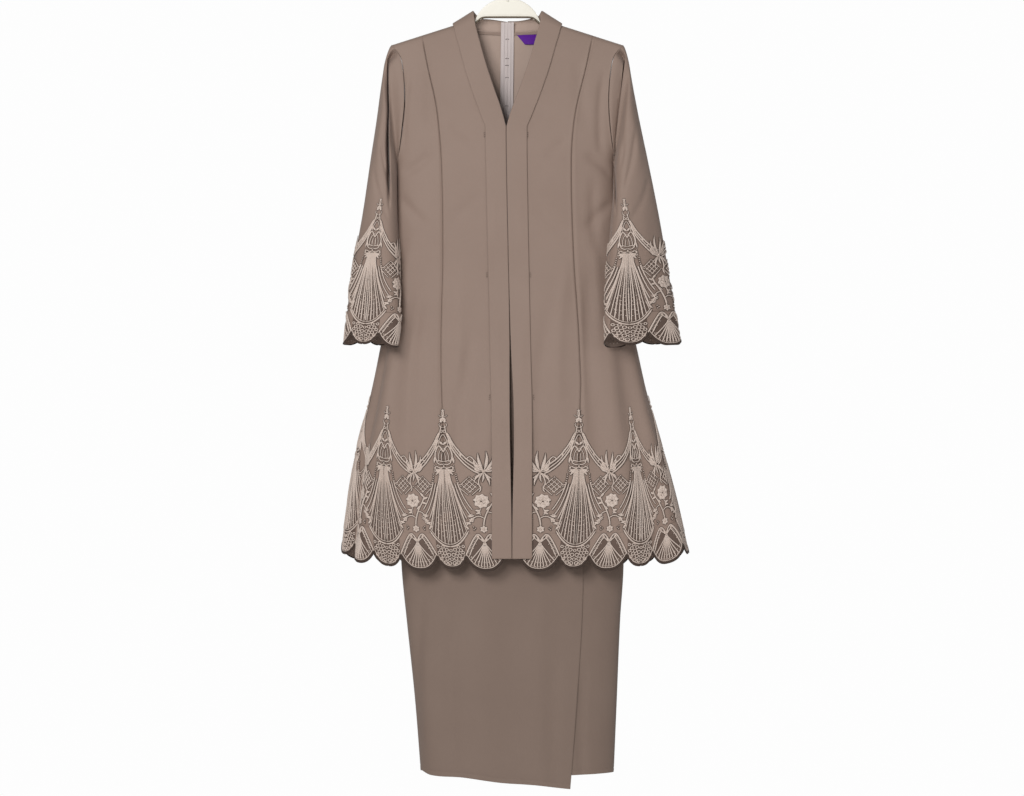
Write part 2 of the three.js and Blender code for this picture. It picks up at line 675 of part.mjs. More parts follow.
const SLEEVE_INNER = [
  { drop: 371, left: 202.5, right: 192.5 },
  { drop: 398, left: 212, right: 195 },
  { drop: 481, left: 208, right: 186 },
  { drop: 529, left: 203, right: 181 },
  { drop: 591, left: 200.5, right: 175 },
  { drop: 646, left: 196, right: 173 },
  { drop: 700, left: 203, right: 173.5 },
];
const SLEEVE_DOWNS = [0.025, 0.06, 0.09, 0.13, 0.2, 0.3];
const VALLEY = { down: 0.09, width: 0.05, sink: 0.55 }; // the deep fold beside the armhole
const CUFF_HEIGHTS = [236, ...UPPER_ROWS.toReversed()];
const CUFF = { fan: 76, small: 58, spireTop: 266, start: { left: 37, right: 11 } };
const sleeveOuter = { "-1": curve(SLEEVE_OUTER, "drop", "left"), "1": curve(SLEEVE_OUTER, "drop", "right") };
const sleeveInner = { "-1": curve(SLEEVE_INNER, "drop", "left"), "1": curve(SLEEVE_INNER, "drop", "right") };
const sleeve = Object.fromEntries(
  ["outerDrop", "innerDrop", "outerY", "leftY", "rightY", "depth"].map((name) => [
    name,
    curve(SLEEVE, "down", name),
  ]),
);

// round is 0 at the outer line, a quarter at the front, a half at the inner line and 1 back at the outer line.
function armholePlace(side, round) {
  const share = (1 - Math.cos(2 * Math.PI * round)) / 2;
  const drop = lerp(shoulderDrop(ARMHOLE[0].x), UNDERARM, share);
  const turn = seamTurn(side, "side", Math.min(drop, UNDERARM - 0.01), round > 0.5);
  return { turn, drop };
}
function sleevePlain(side, down, round) {
  const [outerDrop, innerDrop] = [sleeve.outerDrop(down), sleeve.innerDrop(down)];
  const outer = new THREE.Vector3(side * sleeveOuter[side](outerDrop), sleeve.outerY(down), -outerDrop);
  const innerY = sleeve[`${sideName(side)}Y`](down);
  const inner = new THREE.Vector3(side * sleeveInner[side](innerDrop), innerY, -innerDrop);
  const half = outer.clone().sub(inner).multiplyScalar(0.5);
  const middle = outer.clone().add(inner).multiplyScalar(0.5);
  const unit = half.clone().normalize();
  const back = new THREE.Vector3(0, 1, 0);
  back.addScaledVector(unit, -back.dot(unit)).normalize();
  const angle = 2 * Math.PI * round;
  const power = (value) => Math.sign(value) * Math.pow(Math.abs(value), 0.85);
  const fold = 1 - VALLEY.sink * Math.exp(-(((down - VALLEY.down) / VALLEY.width) ** 2));
  const depth = sleeve.depth(down) * fold;
  return middle
    .addScaledVector(half, power(Math.cos(angle)))
    .addScaledVector(back, -depth * power(Math.sin(angle)));
}
function sleeveSurface(side, down, round) {
  const grown = ease(down / 0.12);
  const hung = sleevePlain(side, down, round);
  if (grown === 1) return hung;
  const { turn, drop } = armholePlace(side, round);
  const sewn = bodyPoint(side, turn + (round > 0.5 ? -1 : 1) * (SEAM / 2 / 200), drop);
  return sewn.lerp(hung, grown);
}
function sleevePoint(side, down, round, lift = 0) {
  const step = 0.004;
  const [above, below] = [Math.max(down - step, 0), Math.min(down + step, 1)];
  const along = sleeveSurface(side, below, round).sub(sleeveSurface(side, above, round));
  const around = sleeveSurface(side, down, (round + step) % 1).sub(
    sleeveSurface(side, down, (round - step + 1) % 1),
  );
  const outwards = around.cross(along).multiplyScalar(side).normalize();
  return sleeveSurface(side, down, round).addScaledVector(outwards, lift);
}

// Rounds by share of the cuff's girth, from the inner line over the front.
const CUFF_STEPS = 90;
const cuffGirths = Object.fromEntries(
  [-1, 1].map((side) => {
    const lengths = [0];
    for (let i = 1; i <= CUFF_STEPS; i += 1) {
      const [a, b] = [i - 1, i].map((k) => sleeveSurface(side, 1, (1.5 - k / CUFF_STEPS) % 1));
      lengths.push(lengths[i - 1] + a.distanceTo(b));
    }
    return [side, lengths];
  }),
);
function cuffRound(side, u) {
  const lengths = cuffGirths[side];
  const girth = lengths.at(-1);
  const wanted = ((u % girth) + girth) % girth;
  let i = 1;
  while (i < CUFF_STEPS && lengths[i] < wanted) i += 1;
  const k = i - 1 + (wanted - lengths[i - 1]) / (lengths[i] - lengths[i - 1]);
  return (1.5 - k / CUFF_STEPS) % 1;
}

// ---------------------------------------------------------------- hem lace, over the lower edge of the cloth
const HEM_SPLIT = 6; // the front lace has this many units, the back has the rest
for (const side of [-1, 1]) {
  const units = hemUnits(side);
  const ends = [units[0].start, units[HEM_SPLIT].start, halfGirth(side, HEM).at(-1)];
  const at = (u, height, lift) => {
    const { drop, turn } = hemPlace(side, u, height);
    return bodyPoint(side, turn, drop, lift);
  };
  const parts = { front: [units.slice(0, HEM_SPLIT), ends[0], ends[1]], back: [units.slice(HEM_SPLIT), ends[1], ends[2]] };
  for (const [part, [some, from, to]] of Object.entries(parts)) {
    piece(`hem_lace_${part}_${sideName(side)}`, laceSolid(some, from, to, LACE_TOP, side, at), laceThread);
  }
}

// ---------------------------------------------------------------- sleeve cloth and cuff lace
function cuffUnits(side) {
  const scale = cuffGirths[side].at(-1) / (2 * (CUFF.fan + CUFF.small));
  const widths = { fan: CUFF.fan * scale, small: CUFF.small * scale };
  return unitRow(["small", "fan", "small", "fan"], CUFF.start[sideName(side)], widths);
}
// How far down the sleeve a place lies that is so high above the cuff.
function downAt(side, round, height) {
  const wanted = sleeveSurface(side, 1, round).z + height;
  let [low, high] = [0, 1];
  for (let i = 0; i < 24; i += 1) {
    const middle = (low + high) / 2;
    if (sleeveSurface(side, middle, round).z > wanted) low = middle;
    else high = middle;
  }
  return (low + high) / 2;
}
function cuffPoint(side, u, height, lift) {
  const round = cuffRound(side, u);
  return sleevePoint(side, downAt(side, round, height), round, lift);
}
const keyOfRound = (round) => (1.5 - round) % 1;

// The stations of the armhole are the ends of the rows of the panels that the sleeve is sewn to.
function armholeStations(side) {
  const stations = [];
  for (const isBack of [false, true]) {
    const panel = PANELS[isBack ? "back_side" : "front_side"];
    DOWN_STEPS.forEach((step, i) => {
      if (isBack && (i === 0 || i === DOWN_STEPS.length - 1)) return;
      const { turn, drop } = upperPlace(side, panel, 1, step, isBack);
      const top = shoulderDrop(ARMHOLE[0].x);
      const share = clamp((drop - top) / (UNDERARM - top), 0, 1);
      const half = Math.acos(1 - 2 * share) / (2 * Math.PI);
      stations.push({ turn, drop, share, isBack, round: isBack ? 1 - half : half });
    });
  }
  return stations.sort((a, b) => keyOfRound(a.round) - keyOfRound(b.round));
}
// At the seam the sleeve's wall stands as the panel's does, and turns to face down under the arm.
function sewnWall(side, { turn, drop, share, isBack, round }) {
  const aside = turn + ((isBack ? -1 : 1) * SEAM) / 2 / bodyHalf(side, drop);
  const under = ease((share - 0.7) / 0.3);
  const out = bodyPoint(side, aside, drop);
  const panelWay = share < 0.001 ? new THREE.Vector3(0, 0, 1) : bodyPoint(side, aside, drop, 1).sub(out);
  const sleeveWay = sleevePoint(side, 0.004, round, 1).sub(sleevePoint(side, 0.004, round));
  if (share < 0.001) out.y = 0;
  out.x += side * SEAM * Math.max(under, 1 - share / 0.06);
  const way = panelWay.lerp(sleeveWay, under).normalize();
  return { key: keyOfRound(round), out, in: out.clone().addScaledVector(way, -CLOTH) };
}
function sleeveRows(side) {
  const stations = armholeStations(side);
  const rows = [stations.map((station) => sewnWall(side, station))];
  const wall = (down, round) => ({
    key: keyOfRound(round),
    out: sleevePoint(side, down, round),
    in: sleevePoint(side, down, round, -CLOTH),
  });
  for (const down of SLEEVE_DOWNS) rows.push(stations.map(({ round }) => wall(down, round)));
  const units = cuffUnits(side);
  const last = units.at(-1);
  const lines = laceLines(units, units[0].start, last.start + last.width - 1, (kind) => LINES[kind]);
  const rounds = lines.map(({ u }) => cuffRound(side, u)).sort((a, b) => keyOfRound(a) - keyOfRound(b));
  const lowest = SLEEVE_DOWNS.at(-1);
  rows.push(rounds.map((round) => wall((lowest + downAt(side, round, CUFF_HEIGHTS[0])) / 2, round)));
  for (const height of CUFF_HEIGHTS) rows.push(rounds.map((round) => wall(downAt(side, round, height), round)));
  return rows;
}
for (const side of [-1, 1]) {
  piece(`sleeve_${sideName(side)}`, rowsSolid(sleeveRows(side), side, true), crepe);
  const units = cuffUnits(side);
  const half = units[2].start - units[0].start;
  const at = (u, height, lift) => cuffPoint(side, u, height, lift);
  [["a", units.slice(0, 2)], ["b", units.slice(2)]].forEach(([part, pair]) => {
    const geometry = laceSolid(pair, pair[0].start, pair[0].start + half, CUFF.spireTop, side, at);
    piece(`cuff_lace_${sideName(side)}_${part}`, geometry, laceThread);
  });
}

// ---------------------------------------------------------------- inside the back neck: zip tapes and label
const TAPE = { from: 0.5, to: 11.8, top: 112, bottom: 640, thick: 0.9 };
const LABEL = { from: 15.5, to: 62, top: 133, bottom: 152, thick: 0.7 };
function insidePatch(side, { from, to, thick }, drops, columns) {
  const rows = drops.map((drop) =>
    columns.map((column) => {
      const turn = Math.PI - turnOf(side, lerp(from, to, column), drop);
      return {
        key: -column,
        out: bodyPoint(side, turn, drop, -CLOTH - LIFT),
        in: bodyPoint(side, turn, drop, -CLOTH - LIFT - thick),
      };
    }).toReversed(),
  );
  return rowsSolid(rows, side);
}
const TAPE_DROPS = [TAPE.top, 122, 135, 155, 185, 230, 290, 371, 440, 516, 580, TAPE.bottom];
for (const side of [-1, 1]) {
  piece(`zip_tape_${sideName(side)}`, insidePatch(side, TAPE, TAPE_DROPS, [0, 1]), tapeCloth);
}
piece("neck_label", insidePatch(1, LABEL, [LABEL.top, 142, LABEL.bottom], [0, 0.33, 0.67, 1]), labelCloth);

// ---------------------------------------------------------------- the wrap skirt
const SKIRT = [
  { drop: 517, left: 180, right: 180, front: 30, back: 26 },
  { drop: 545, left: 184, right: 184, front: 32, back: 28 },
  { drop: 620, left: 196, right: 196, front: 36, back: 32 },
  { drop: 720, left: 204, right: 206, front: 40, back: 37 },
  { drop: 884, left: 204, right: 209, front: 45, back: 43 },
  { drop: 1098, left: 193, right: 206, front: 50, back: 48 },
  { drop: 1190, left: 184, right: 200, front: 51, back: 49 },
  { drop: 1334, left: 169, right: 194, front: 52, back: 50 },
  { drop: 1500, left: 156, right: 187, front: 53, back: 51 },
];
const WAIST = { top: 517, bottom: 545, columns: 24, meet: 0.006 };
const SKIRT_HEM = [
  { x: -160, drop: 1457, under: 1460 },
  { x: -139, drop: 1466, under: 1462 },
  { x: -83, drop: 1469, under: 1463 },
  { x: -16, drop: 1478, under: 1464 },
  { x: 47, drop: 1482.5, under: 1465 },
  { x: 115, drop: 1490, under: 1465 },
  { x: 190, drop: 1490, under: 1462 },
];
const WRAP_EDGE = [
  { drop: 545, x: 128 },
  { drop: 800, x: 134 },
  { drop: 1095, x: 133 },
  { drop: 1190, x: 130.5 },
  { drop: 1267, x: 126 },
  { drop: 1345, x: 120.6 },
  { drop: 1422, x: 115 },
  { drop: 1490, x: 109.5 },
];
const WRAP_UNDER = -75; // how far the under layer reaches behind the wrap
const WRAP_LIFT = CLOTH + LIFT; // the wrap lies this far out over the under layer
const SKIRT_DOWNS = [0, 0.09, 0.2, 0.37, 0.6, 0.74, 0.87, 1];
const skirtHalves = { "-1": curve(SKIRT, "drop", "left"), "1": curve(SKIRT, "drop", "right") };
const skirtFront = curve(SKIRT, "drop", "front");
const skirtBack = curve(SKIRT, "drop", "back");
const wrapEdge = curve(WRAP_EDGE, "drop", "x");
const hemDrop = { wrap: curve(SKIRT_HEM, "x", "drop"), under: curve(SKIRT_HEM, "x", "under") };

function skirtPlain(side, turn, drop) {
  const across = skirtHalves[side](drop) * Math.pow(Math.abs(Math.sin(turn)), SQUARE);
  const facing = Math.cos(turn);
  const depth = facing > 0 ? skirtFront(drop) : skirtBack(drop);
  const out = depth * Math.pow(Math.abs(facing), SQUARE);
  return new THREE.Vector3(side * across, -Math.sign(facing) * out, -drop);
}
// turn runs all the way round: below 0 on the left, above 0 on the right, 0 at the centre front.
function skirtPoint(turn, drop, lift) {
  const side = turn < 0 || turn > Math.PI ? -1 : 1;
  const around = turn > Math.PI ? 2 * Math.PI - turn : Math.abs(turn);
  const inside = clamp(around, 0.012, Math.PI - 0.012);
  return skirtPlain(side, around, drop).addScaledVector(outward(skirtPlain, side, inside, drop), lift);
}
const skirtTurn = (x, drop) => {
  const side = x < 0 ? -1 : 1;
  return side * Math.asin(Math.pow(clamp(Math.abs(x) / skirtHalves[side](drop), 0, 1), 1 / SQUARE));
};

// A panel of the skirt between two edges given as turns at each drop. The last row follows the hem.
function skirtPanel({ columns, edges, hem, lift: liftAt }) {
  const rows = SKIRT_DOWNS.map((down) =>
    Array.from({ length: columns + 1 }, (_, i) => {
      const across = i / columns;
      let drop = lerp(WAIST.bottom + SEAM, hem(0), down);
      let turn = 0;
      for (let k = 0; k < 8; k += 1) {
        turn = lerp(edges[0](drop), edges[1](drop), across);
        drop = lerp(WAIST.bottom + SEAM, hem(skirtPoint(turn, drop, 0).x), down);
      }
      const lift = liftAt(skirtPoint(turn, drop, 0).x);
      return { key: i, out: skirtPoint(turn, drop, lift), in: skirtPoint(turn, drop, lift - CLOTH) };
    }),
  );
  return rowsSolid(rows, 1);
}
const wrapLift = (x) => WRAP_LIFT * ease((x - WRAP_UNDER + 60) / 45);
const halfSeam = SEAM / 2 / SKIRT[0].front;
const SKIRT_PANELS = {
  skirt_wrap: {
    columns: 11,
    edges: [() => -Math.PI / 2 + halfSeam, (drop) => skirtTurn(wrapEdge(drop), drop)],
    hem: hemDrop.wrap,
    lift: wrapLift,
  },
  skirt_under: {
    columns: 9,
    edges: [(drop) => skirtTurn(WRAP_UNDER, drop), () => Math.PI / 2 - halfSeam],
    hem: hemDrop.under,
    lift: () => 0,
  },
  skirt_back: {
    columns: 11,
    edges: [() => Math.PI / 2 + halfSeam, () => (3 * Math.PI) / 2 - halfSeam],
    hem: hemDrop.under,
    lift: () => 0,
  },
};
for (const [name, panel] of Object.entries(SKIRT_PANELS)) piece(name, skirtPanel(panel), crepe);

// The waistband is folded over the tops of the panels. Its ends meet at the centre back.
const waistRows = [WAIST.top, (WAIST.top + WAIST.bottom) / 2, WAIST.bottom].map((drop) =>
  Array.from({ length: WAIST.columns + 1 }, (_, i) => {
    const turn = lerp(-Math.PI + WAIST.meet, Math.PI - WAIST.meet, i / WAIST.columns);
    return { key: i, out: skirtPoint(turn, drop, WRAP_LIFT), in: skirtPoint(turn, drop, -CLOTH) };
  }),
);
piece("skirt_waistband", rowsSolid(waistRows, 1), crepe);

// ---------------------------------------------------------------- the hanger, moulded in one piece
const HUB = { x: -2.9, drop: 132, radius: 62, under: 108, rimX: 43, deep: 9 };
const ARM = { from: 46, tip: 199, gap: 0.8, dip: 4, thick: 9.4, high: { neck: 17, tip: 12 }, sides: 10 };
const NOTCH = { x: 140, wide: 10, deep: 3.6 };
const HOOK = { inner: 20, wire: 8, stemTop: -47, opens: 205 };
const NOTCH_FLOOR = -shoulderDrop(NOTCH.x) - CLOTH - ARM.gap - NOTCH.deep;

function ringsSolid(rings) {
  const count = rings[0].length;
  const positions = rings.flat().flatMap((point) => point.toArray());
  const index = [];
  for (let r = 0; r + 1 < rings.length; r += 1) {
    for (let i = 0; i < count; i += 1) {
      const [a, b] = [r * count + i, r * count + ((i + 1) % count)];
      index.push(a, b, b + count, a, b + count, a + count);
    }
  }
  const last = (rings.length - 1) * count;
  for (let i = 1; i + 1 < count; i += 1) index.push(0, i + 1, i, last, last + i, last + i + 1);
  const geometry = new THREE.BufferGeometry();
  geometry.setAttribute("position", new THREE.Float32BufferAttribute(positions, 3));
  geometry.setIndex(index);
  return geometry;
}
function armRing(way, x) {
  const share = (x - ARM.from) / (ARM.tip - ARM.from);
  const lowered = ARM.dip * (1 - ease((x - 84) / 16)) + 5 * clamp((share - 0.93) / 0.07, 0, 1) ** 2;
  const plain = -shoulderDrop(x) - CLOTH - ARM.gap - lowered;
  const top = Math.abs(x - NOTCH.x) <= NOTCH.wide / 2 ? NOTCH_FLOOR : plain;
  const bottom = -shoulderDrop(x) - CLOTH - ARM.gap - lerp(ARM.high.neck, ARM.high.tip, share);
  const thin = 1 - 0.35 * clamp((share - 0.93) / 0.07, 0, 1) ** 2;
  return Array.from({ length: ARM.sides }, (_, i) => {
    const angle = (2 * Math.PI * i) / ARM.sides;
    const round = (value) => Math.sign(value) * Math.abs(value) ** 0.9;
    return new THREE.Vector3(
      HUB.x + way * x,
      ((way * ARM.thick) / 2) * thin * round(Math.cos(angle)),
      (top + bottom) / 2 + ((top - bottom) / 2) * round(Math.sin(angle)),
    );
  });
}

const wasm = await Module();
wasm.setup();
function toManifold(geometry) {
  const bare = geometry.clone();
  for (const name of Object.keys(bare.attributes)) if (name !== "position") bare.deleteAttribute(name);
  const merged = mergeVertices(bare, 1e-3);
  return new wasm.Manifold(
    new wasm.Mesh({
      numProp: 3,
      vertProperties: new Float32Array(merged.attributes.position.array),
      triVerts: new Uint32Array(merged.index.array),
    }),
  );
}
function fromManifold(solid) {
  const { vertProperties, triVerts } = solid.getMesh();
  const geometry = new THREE.BufferGeometry();
  geometry.setAttribute("position", new THREE.Float32BufferAttribute(vertProperties, 3));
  geometry.setIndex(Array.from(triVerts));
  const flat = geometry.toNonIndexed();
  flat.computeVertexNormals();
  return flat;
}

function hubGeometry() {
  const outline = new THREE.Shape();
  const reach = HUB.radius * Math.sin(Math.acos(0.22));
  const foot = -HUB.drop + HUB.radius * 0.22;
  outline.absarc(0, -HUB.drop, HUB.radius, Math.asin(0.22), Math.PI - Math.asin(0.22), false);
  outline.lineTo(-reach, foot - 10);
  outline.quadraticCurveTo(-HUB.rimX - 6, -HUB.under - 1, -HUB.rimX + 4, -HUB.under);
  outline.lineTo(HUB.rimX - 4, -HUB.under);
  outline.quadraticCurveTo(HUB.rimX + 6, -HUB.under - 1, reach, foot - 10);
  const hub = new THREE.ExtrudeGeometry(outline, { depth: HUB.deep, bevelEnabled: false, curveSegments: 12 });
  hub.translate(0, 0, -HUB.deep / 2);
  hub.rotateX(Math.PI / 2);
  hub.translate(HUB.x, 0, 0);
  return hub;
}
function hookGeometry() {
  const radius = HOOK.inner + HOOK.wire / 2;
  const centre = -HOOK.inner;
  const points = [
    new THREE.Vector3(HUB.x, 0, -HUB.drop + HUB.radius - 6),
    new THREE.Vector3(HUB.x + 0.4, 0, HOOK.stemTop - 12),
    new THREE.Vector3(HUB.x + 3, 0, HOOK.stemTop - 3),
  ];
  for (let degrees = -50; degrees <= HOOK.opens; degrees += 17) {
    const angle = radians(degrees);
    points.push(new THREE.Vector3(radius * Math.cos(angle), 0, centre + radius * Math.sin(angle)));
  }
  const section = new THREE.Shape();
  section.absarc(0, 0, HOOK.wire / 2, 0, 2 * Math.PI, false);
  return new THREE.ExtrudeGeometry(section, {
    steps: 20,
    curveSegments: 8,
    bevelEnabled: false,
    extrudePath: new THREE.CatmullRomCurve3(points),
  });
}
const armXs = [ARM.from, 84, 92, 100, 133.5, 135, 145, 146.5, 185, 194, ARM.tip];
const moulded = [-1, 1]
  .map((way) => toManifold(ringsSolid(armXs.map((x) => armRing(way, x)))))
  .concat(toManifold(hubGeometry()), toManifold(hookGeometry()))
  .reduce((whole, next) => whole.add(next));
piece("hanger", fromManifold(moulded), creamPlastic);

// ---------------------------------------------------------------- ribbon loops that hold the skirt to the hanger
const LOOP = { wide: 7, thick: 0.8, frontY: 18.3, backY: 15.6, end: 541 };
for (const side of [-1, 1]) {
  const armSide = ARM.thick / 2 + SEAM;
  const strand = (waistY) => [
    { y: waistY, z: -LOOP.end },
    { y: waistY - 1, z: -WAIST.top + 15 },
    { y: armSide + 2, z: NOTCH_FLOOR - 60 },
    { y: armSide, z: NOTCH_FLOOR - 9 },
    { y: armSide - 0.2, z: NOTCH_FLOOR - 3 },
    { y: armSide - 2, z: NOTCH_FLOOR + SEAM - 0.2 },
  ];
  const path = [
    ...strand(LOOP.frontY).map(({ y, z }) => [-y, z]),
    [0, NOTCH_FLOOR + SEAM],
    ...strand(LOOP.backY).toReversed().map(({ y, z }) => [y, z]),
  ];
  const rows = path.map(([y, z], i) => {
    const before = path[Math.max(i - 1, 0)];
    const after = path[Math.min(i + 1, path.length - 1)];
    const along = new THREE.Vector3(0, after[0] - before[0], after[1] - before[1]).normalize();
    const outwards = new THREE.Vector3(0, -along.z, along.y);
    return [-1, 1].map((edge) => {
      const inner = new THREE.Vector3(HUB.x + side * NOTCH.x + (edge * LOOP.wide) / 2, y, z);
      return { key: edge, in: inner, out: inner.clone().addScaledVector(outwards, LOOP.thick) };
    });
  });
  piece(`skirt_loop_${sideName(side)}`, rowsSolid(rows, -1), tapeCloth);
}

// ---------------------------------------------------------------- the pull of the back zip
const PULL = { x: -2.8, wide: 4.5, long: 20, thick: 1.2, top: 122, y: 22.8 };
const pullShape = new THREE.Shape();
pullShape.moveTo(-PULL.wide / 3, 0);
pullShape.lineTo(PULL.wide / 3, 0);
pullShape.lineTo(PULL.wide / 2, -PULL.long + 2);
pullShape.quadraticCurveTo(0, -PULL.long - 1, -PULL.wide / 2, -PULL.long + 2);
const pull = new THREE.ExtrudeGeometry(pullShape, { depth: PULL.thick, bevelEnabled: false, curveSegments: 5 });
pull.rotateX(Math.PI / 2);
pull.translate(PULL.x, PULL.y, -PULL.top);
piece("zip_pull", pull, zipMetal);

export default set;
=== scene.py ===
import math

import bmesh
import bpy
import numpy as np
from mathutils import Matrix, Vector


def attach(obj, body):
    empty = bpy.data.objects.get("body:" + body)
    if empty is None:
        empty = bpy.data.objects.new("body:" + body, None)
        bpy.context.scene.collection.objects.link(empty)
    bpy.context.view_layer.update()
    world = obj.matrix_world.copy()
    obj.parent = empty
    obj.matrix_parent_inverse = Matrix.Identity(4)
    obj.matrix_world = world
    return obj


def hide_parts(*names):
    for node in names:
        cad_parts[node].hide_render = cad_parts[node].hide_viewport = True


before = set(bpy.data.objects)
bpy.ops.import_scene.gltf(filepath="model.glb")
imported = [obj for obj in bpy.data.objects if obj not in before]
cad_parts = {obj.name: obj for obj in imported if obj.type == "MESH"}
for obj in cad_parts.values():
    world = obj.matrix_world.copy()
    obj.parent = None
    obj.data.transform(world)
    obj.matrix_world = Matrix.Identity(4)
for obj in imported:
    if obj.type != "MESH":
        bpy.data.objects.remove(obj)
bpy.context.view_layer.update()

# ------------------------------------------------------------------ camera, floor and light
# A long lens, level with the middle of the set and straight in front of it, over a plain pale floor that lies
# clear below the hem. One wide soft light stands high at the front left and a smaller one nearer the front,
# with a weaker one low on the right and one behind, in a pale room.
SEEN_WIDE = 1.843  # metres across at the set
CAMERA_AWAY = 8.0
FLOOR_Z = -1.80
lens = bpy.data.cameras.new("camera")
lens.sensor_width = 36
lens.lens = lens.sensor_width * CAMERA_AWAY / SEEN_WIDE
camera = bpy.data.objects.new("camera", lens)
camera.location = (0.0054, -CAMERA_AWAY, -0.790)
camera.rotation_euler = (math.pi / 2, 0, 0)
bpy.context.scene.collection.objects.link(camera)
bpy.context.scene.camera = camera
bpy.context.scene.view_settings.view_transform = "Standard"


def linear(colour):
    """An sRGB colour in 0 to 255 as the linear one that Blender's sockets take."""
    return [(c / 255 / 12.92) if c <= 10 else ((c / 255 + 0.055) / 1.055) ** 2.4 for c in colour]


def soft_light(name, place, aim, size, watts):
    lamp = bpy.data.lights.new(name, "AREA")
    lamp.shape = "DISK"
    lamp.size, lamp.energy = size, watts
    lit = bpy.data.objects.new(name, lamp)
    lit.location = place
    way = np.subtract(aim, place)
    lit.rotation_euler = (math.atan2(math.hypot(way[0], way[1]), -way[2]), 0, math.atan2(-way[0], way[1]))
    bpy.context.scene.collection.objects.link(lit)


soft_light("key_light", (-1.5, -3.4, 0.9), (0, 0, -0.75), 1.5, 66)
soft_light("front_light", (-0.9, -4.6, 0.4), (0, 0, -0.4), 0.9, 44)
soft_light("side_light", (2.4, -2.6, -0.4), (0, 0, -0.8), 1.8, 11)
soft_light("back_light", (0.6, 3.2, 0.6), (0, 0, -0.8), 1.8, 40)

room = bpy.data.worlds.new("room")
room.use_nodes = True
nodes, join = room.node_tree.nodes, room.node_tree.links.new
lit_sky, seen_sky = nodes["Background"], nodes.new("ShaderNodeBackground")
for sky, strength in ((lit_sky, 0.27), (seen_sky, 0.985)):
    sky.inputs["Color"].default_value = (1, 1, 1, 1)
    sky.inputs["Strength"].default_value = strength
mixed = nodes.new("ShaderNodeMixShader")
join(nodes.new("ShaderNodeLightPath").outputs["Is Camera Ray"], mixed.inputs[0])
join(lit_sky.outputs[0], mixed.inputs[1])
join(seen_sky.outputs[0], mixed.inputs[2])
join(mixed.outputs[0], nodes["World Output"].inputs["Surface"])
bpy.context.scene.world = room


def mesh_of(name, bm, *finishes):
    mesh = bpy.data.meshes.new(name)
    bm.to_mesh(mesh)
    bm.free()
    for finish in finishes:
        mesh.materials.append(finish)
    return mesh


def made_of(name, bm, *finishes):
    """A new piece from a finished bmesh, in its finishes."""
    made = bpy.data.objects.new(name, mesh_of(name, bm, *finishes))
    bpy.context.scene.collection.objects.link(made)
    return made


bm = bmesh.new()
bmesh.ops.create_circle(bm, cap_ends=True, segments=96, radius=3.2)
bmesh.ops.translate(bm, vec=(0, 0, FLOOR_Z), verts=bm.verts)
made_of("floor", bm)


# ------------------------------------------------------------------ the crepe cloth
# A fine dull crepe in a warm taupe, woven from hard-twisted yarn: its grain is a pebbled crinkle under half a
# millimetre across, over a plain weave that shows in close views. The kebaya and the skirt are cut from it.
# The skirt's copy is darker, which is painted shade, and the paler copy inside the back is painted light.
class Shade:
    """A socket of a material's nodes. Expressions on it add Math nodes."""

    def __init__(self, tree, socket=None):
        self.tree, self.socket = tree, socket

    def add(self, kind, settings=None, sockets=None, out=0):
        """A node of any kind: its settings first, then the values or links of its sockets."""
        node = self.tree.nodes.new(kind)
        for name, value in (settings or {}).items():
            setattr(node, name, value)
        for name, value in (sockets or {}).items():
            if isinstance(value, Shade):
                self.tree.links.new(value.socket, node.inputs[name])
            else:
                node.inputs[name].default_value = value
        return Shade(self.tree, node.outputs[out])

    def maths(self, operation, *values):
        return self.add("ShaderNodeMath", {"operation": operation}, dict(enumerate(values)))

    def __add__(self, other):
        return self.maths("ADD", self, other)

    def __radd__(self, other):
        return self.maths("ADD", other, self)

    def __mul__(self, other):
        return self.maths("MULTIPLY", self, other)

    def blend(self, low, high):
        """A colour from low to high by this value."""
        return self.add(
            "ShaderNodeMix", {"data_type": "RGBA"}, {0: self, 6: (*linear(low), 1), 7: (*linear(high), 1)}, 2
        )

    def noise(self, place, scale, detail=3.0, rough=0.55):
        return self.add(
            "ShaderNodeTexNoise",
            {"noise_dimensions": "3D"},
            {"Vector": place, "Scale": scale, "Detail": detail, "Roughness": rough},
        )

    def wave(self, place, scale, bands):
        return self.add(
            "ShaderNodeTexWave",
            {"wave_type": "BANDS", "bands_direction": bands, "wave_profile": "SIN"},
            {"Vector": place, "Scale": scale},
            1,
        )


def finish_of(name, colour, **sockets):
    """A new material: its node maker, its place nodes and its shader's sockets."""
    made = bpy.data.materials.new(name)
    made.use_nodes = True
    made.diffuse_color = (*linear(colour), 1)
    shader = made.node_tree.nodes["Principled BSDF"]
    shader.inputs["Base Color"].default_value = (*linear(colour), 1)
    for socket, value in sockets.items():
        shader.inputs[socket.replace("_", " ")].default_value = value
    maker = Shade(made.node_tree)
    place = maker.add("ShaderNodeTexCoord", out=3)
    return made, maker, place, shader


def feed(shader, **links):
    for socket, value in links.items():
        value.tree.links.new(value.socket, shader.inputs[socket.replace("_", " ")])


def bumped(maker, height, distance, strength):
    return maker.add("ShaderNodeBump", sockets={"Height": height, "Distance": distance, "Strength": strength})


def crepe_finish(name, low, high):
    made, maker, place, shader = finish_of(
        name, high, Roughness=0.68, Sheen_Weight=0.14, Sheen_Roughness=0.45, Specular_IOR_Level=0.32
    )
    woven = maker.add("ShaderNodeTexCoord", out=2)
    cloudy = maker.noise(place, 9, 3)
    pebbles = maker.noise(place, 1500, 2, 0.6)
    yarn = maker.wave(woven, 560, "X") * 0.5 + maker.wave(woven, 560, "Y") * 0.5
    slub = maker.noise(place, 260, 2)
    tone = cloudy * 0.5 + pebbles * 0.32 + slub * 0.18
    feed(
        shader,
        Base_Color=tone.blend(low, high),
        Roughness=0.6 + slub * 0.14,
        Normal=bumped(maker, pebbles * 0.6 + yarn * 0.25 + slub * 0.5, 0.00035, 0.55),
    )
    return made


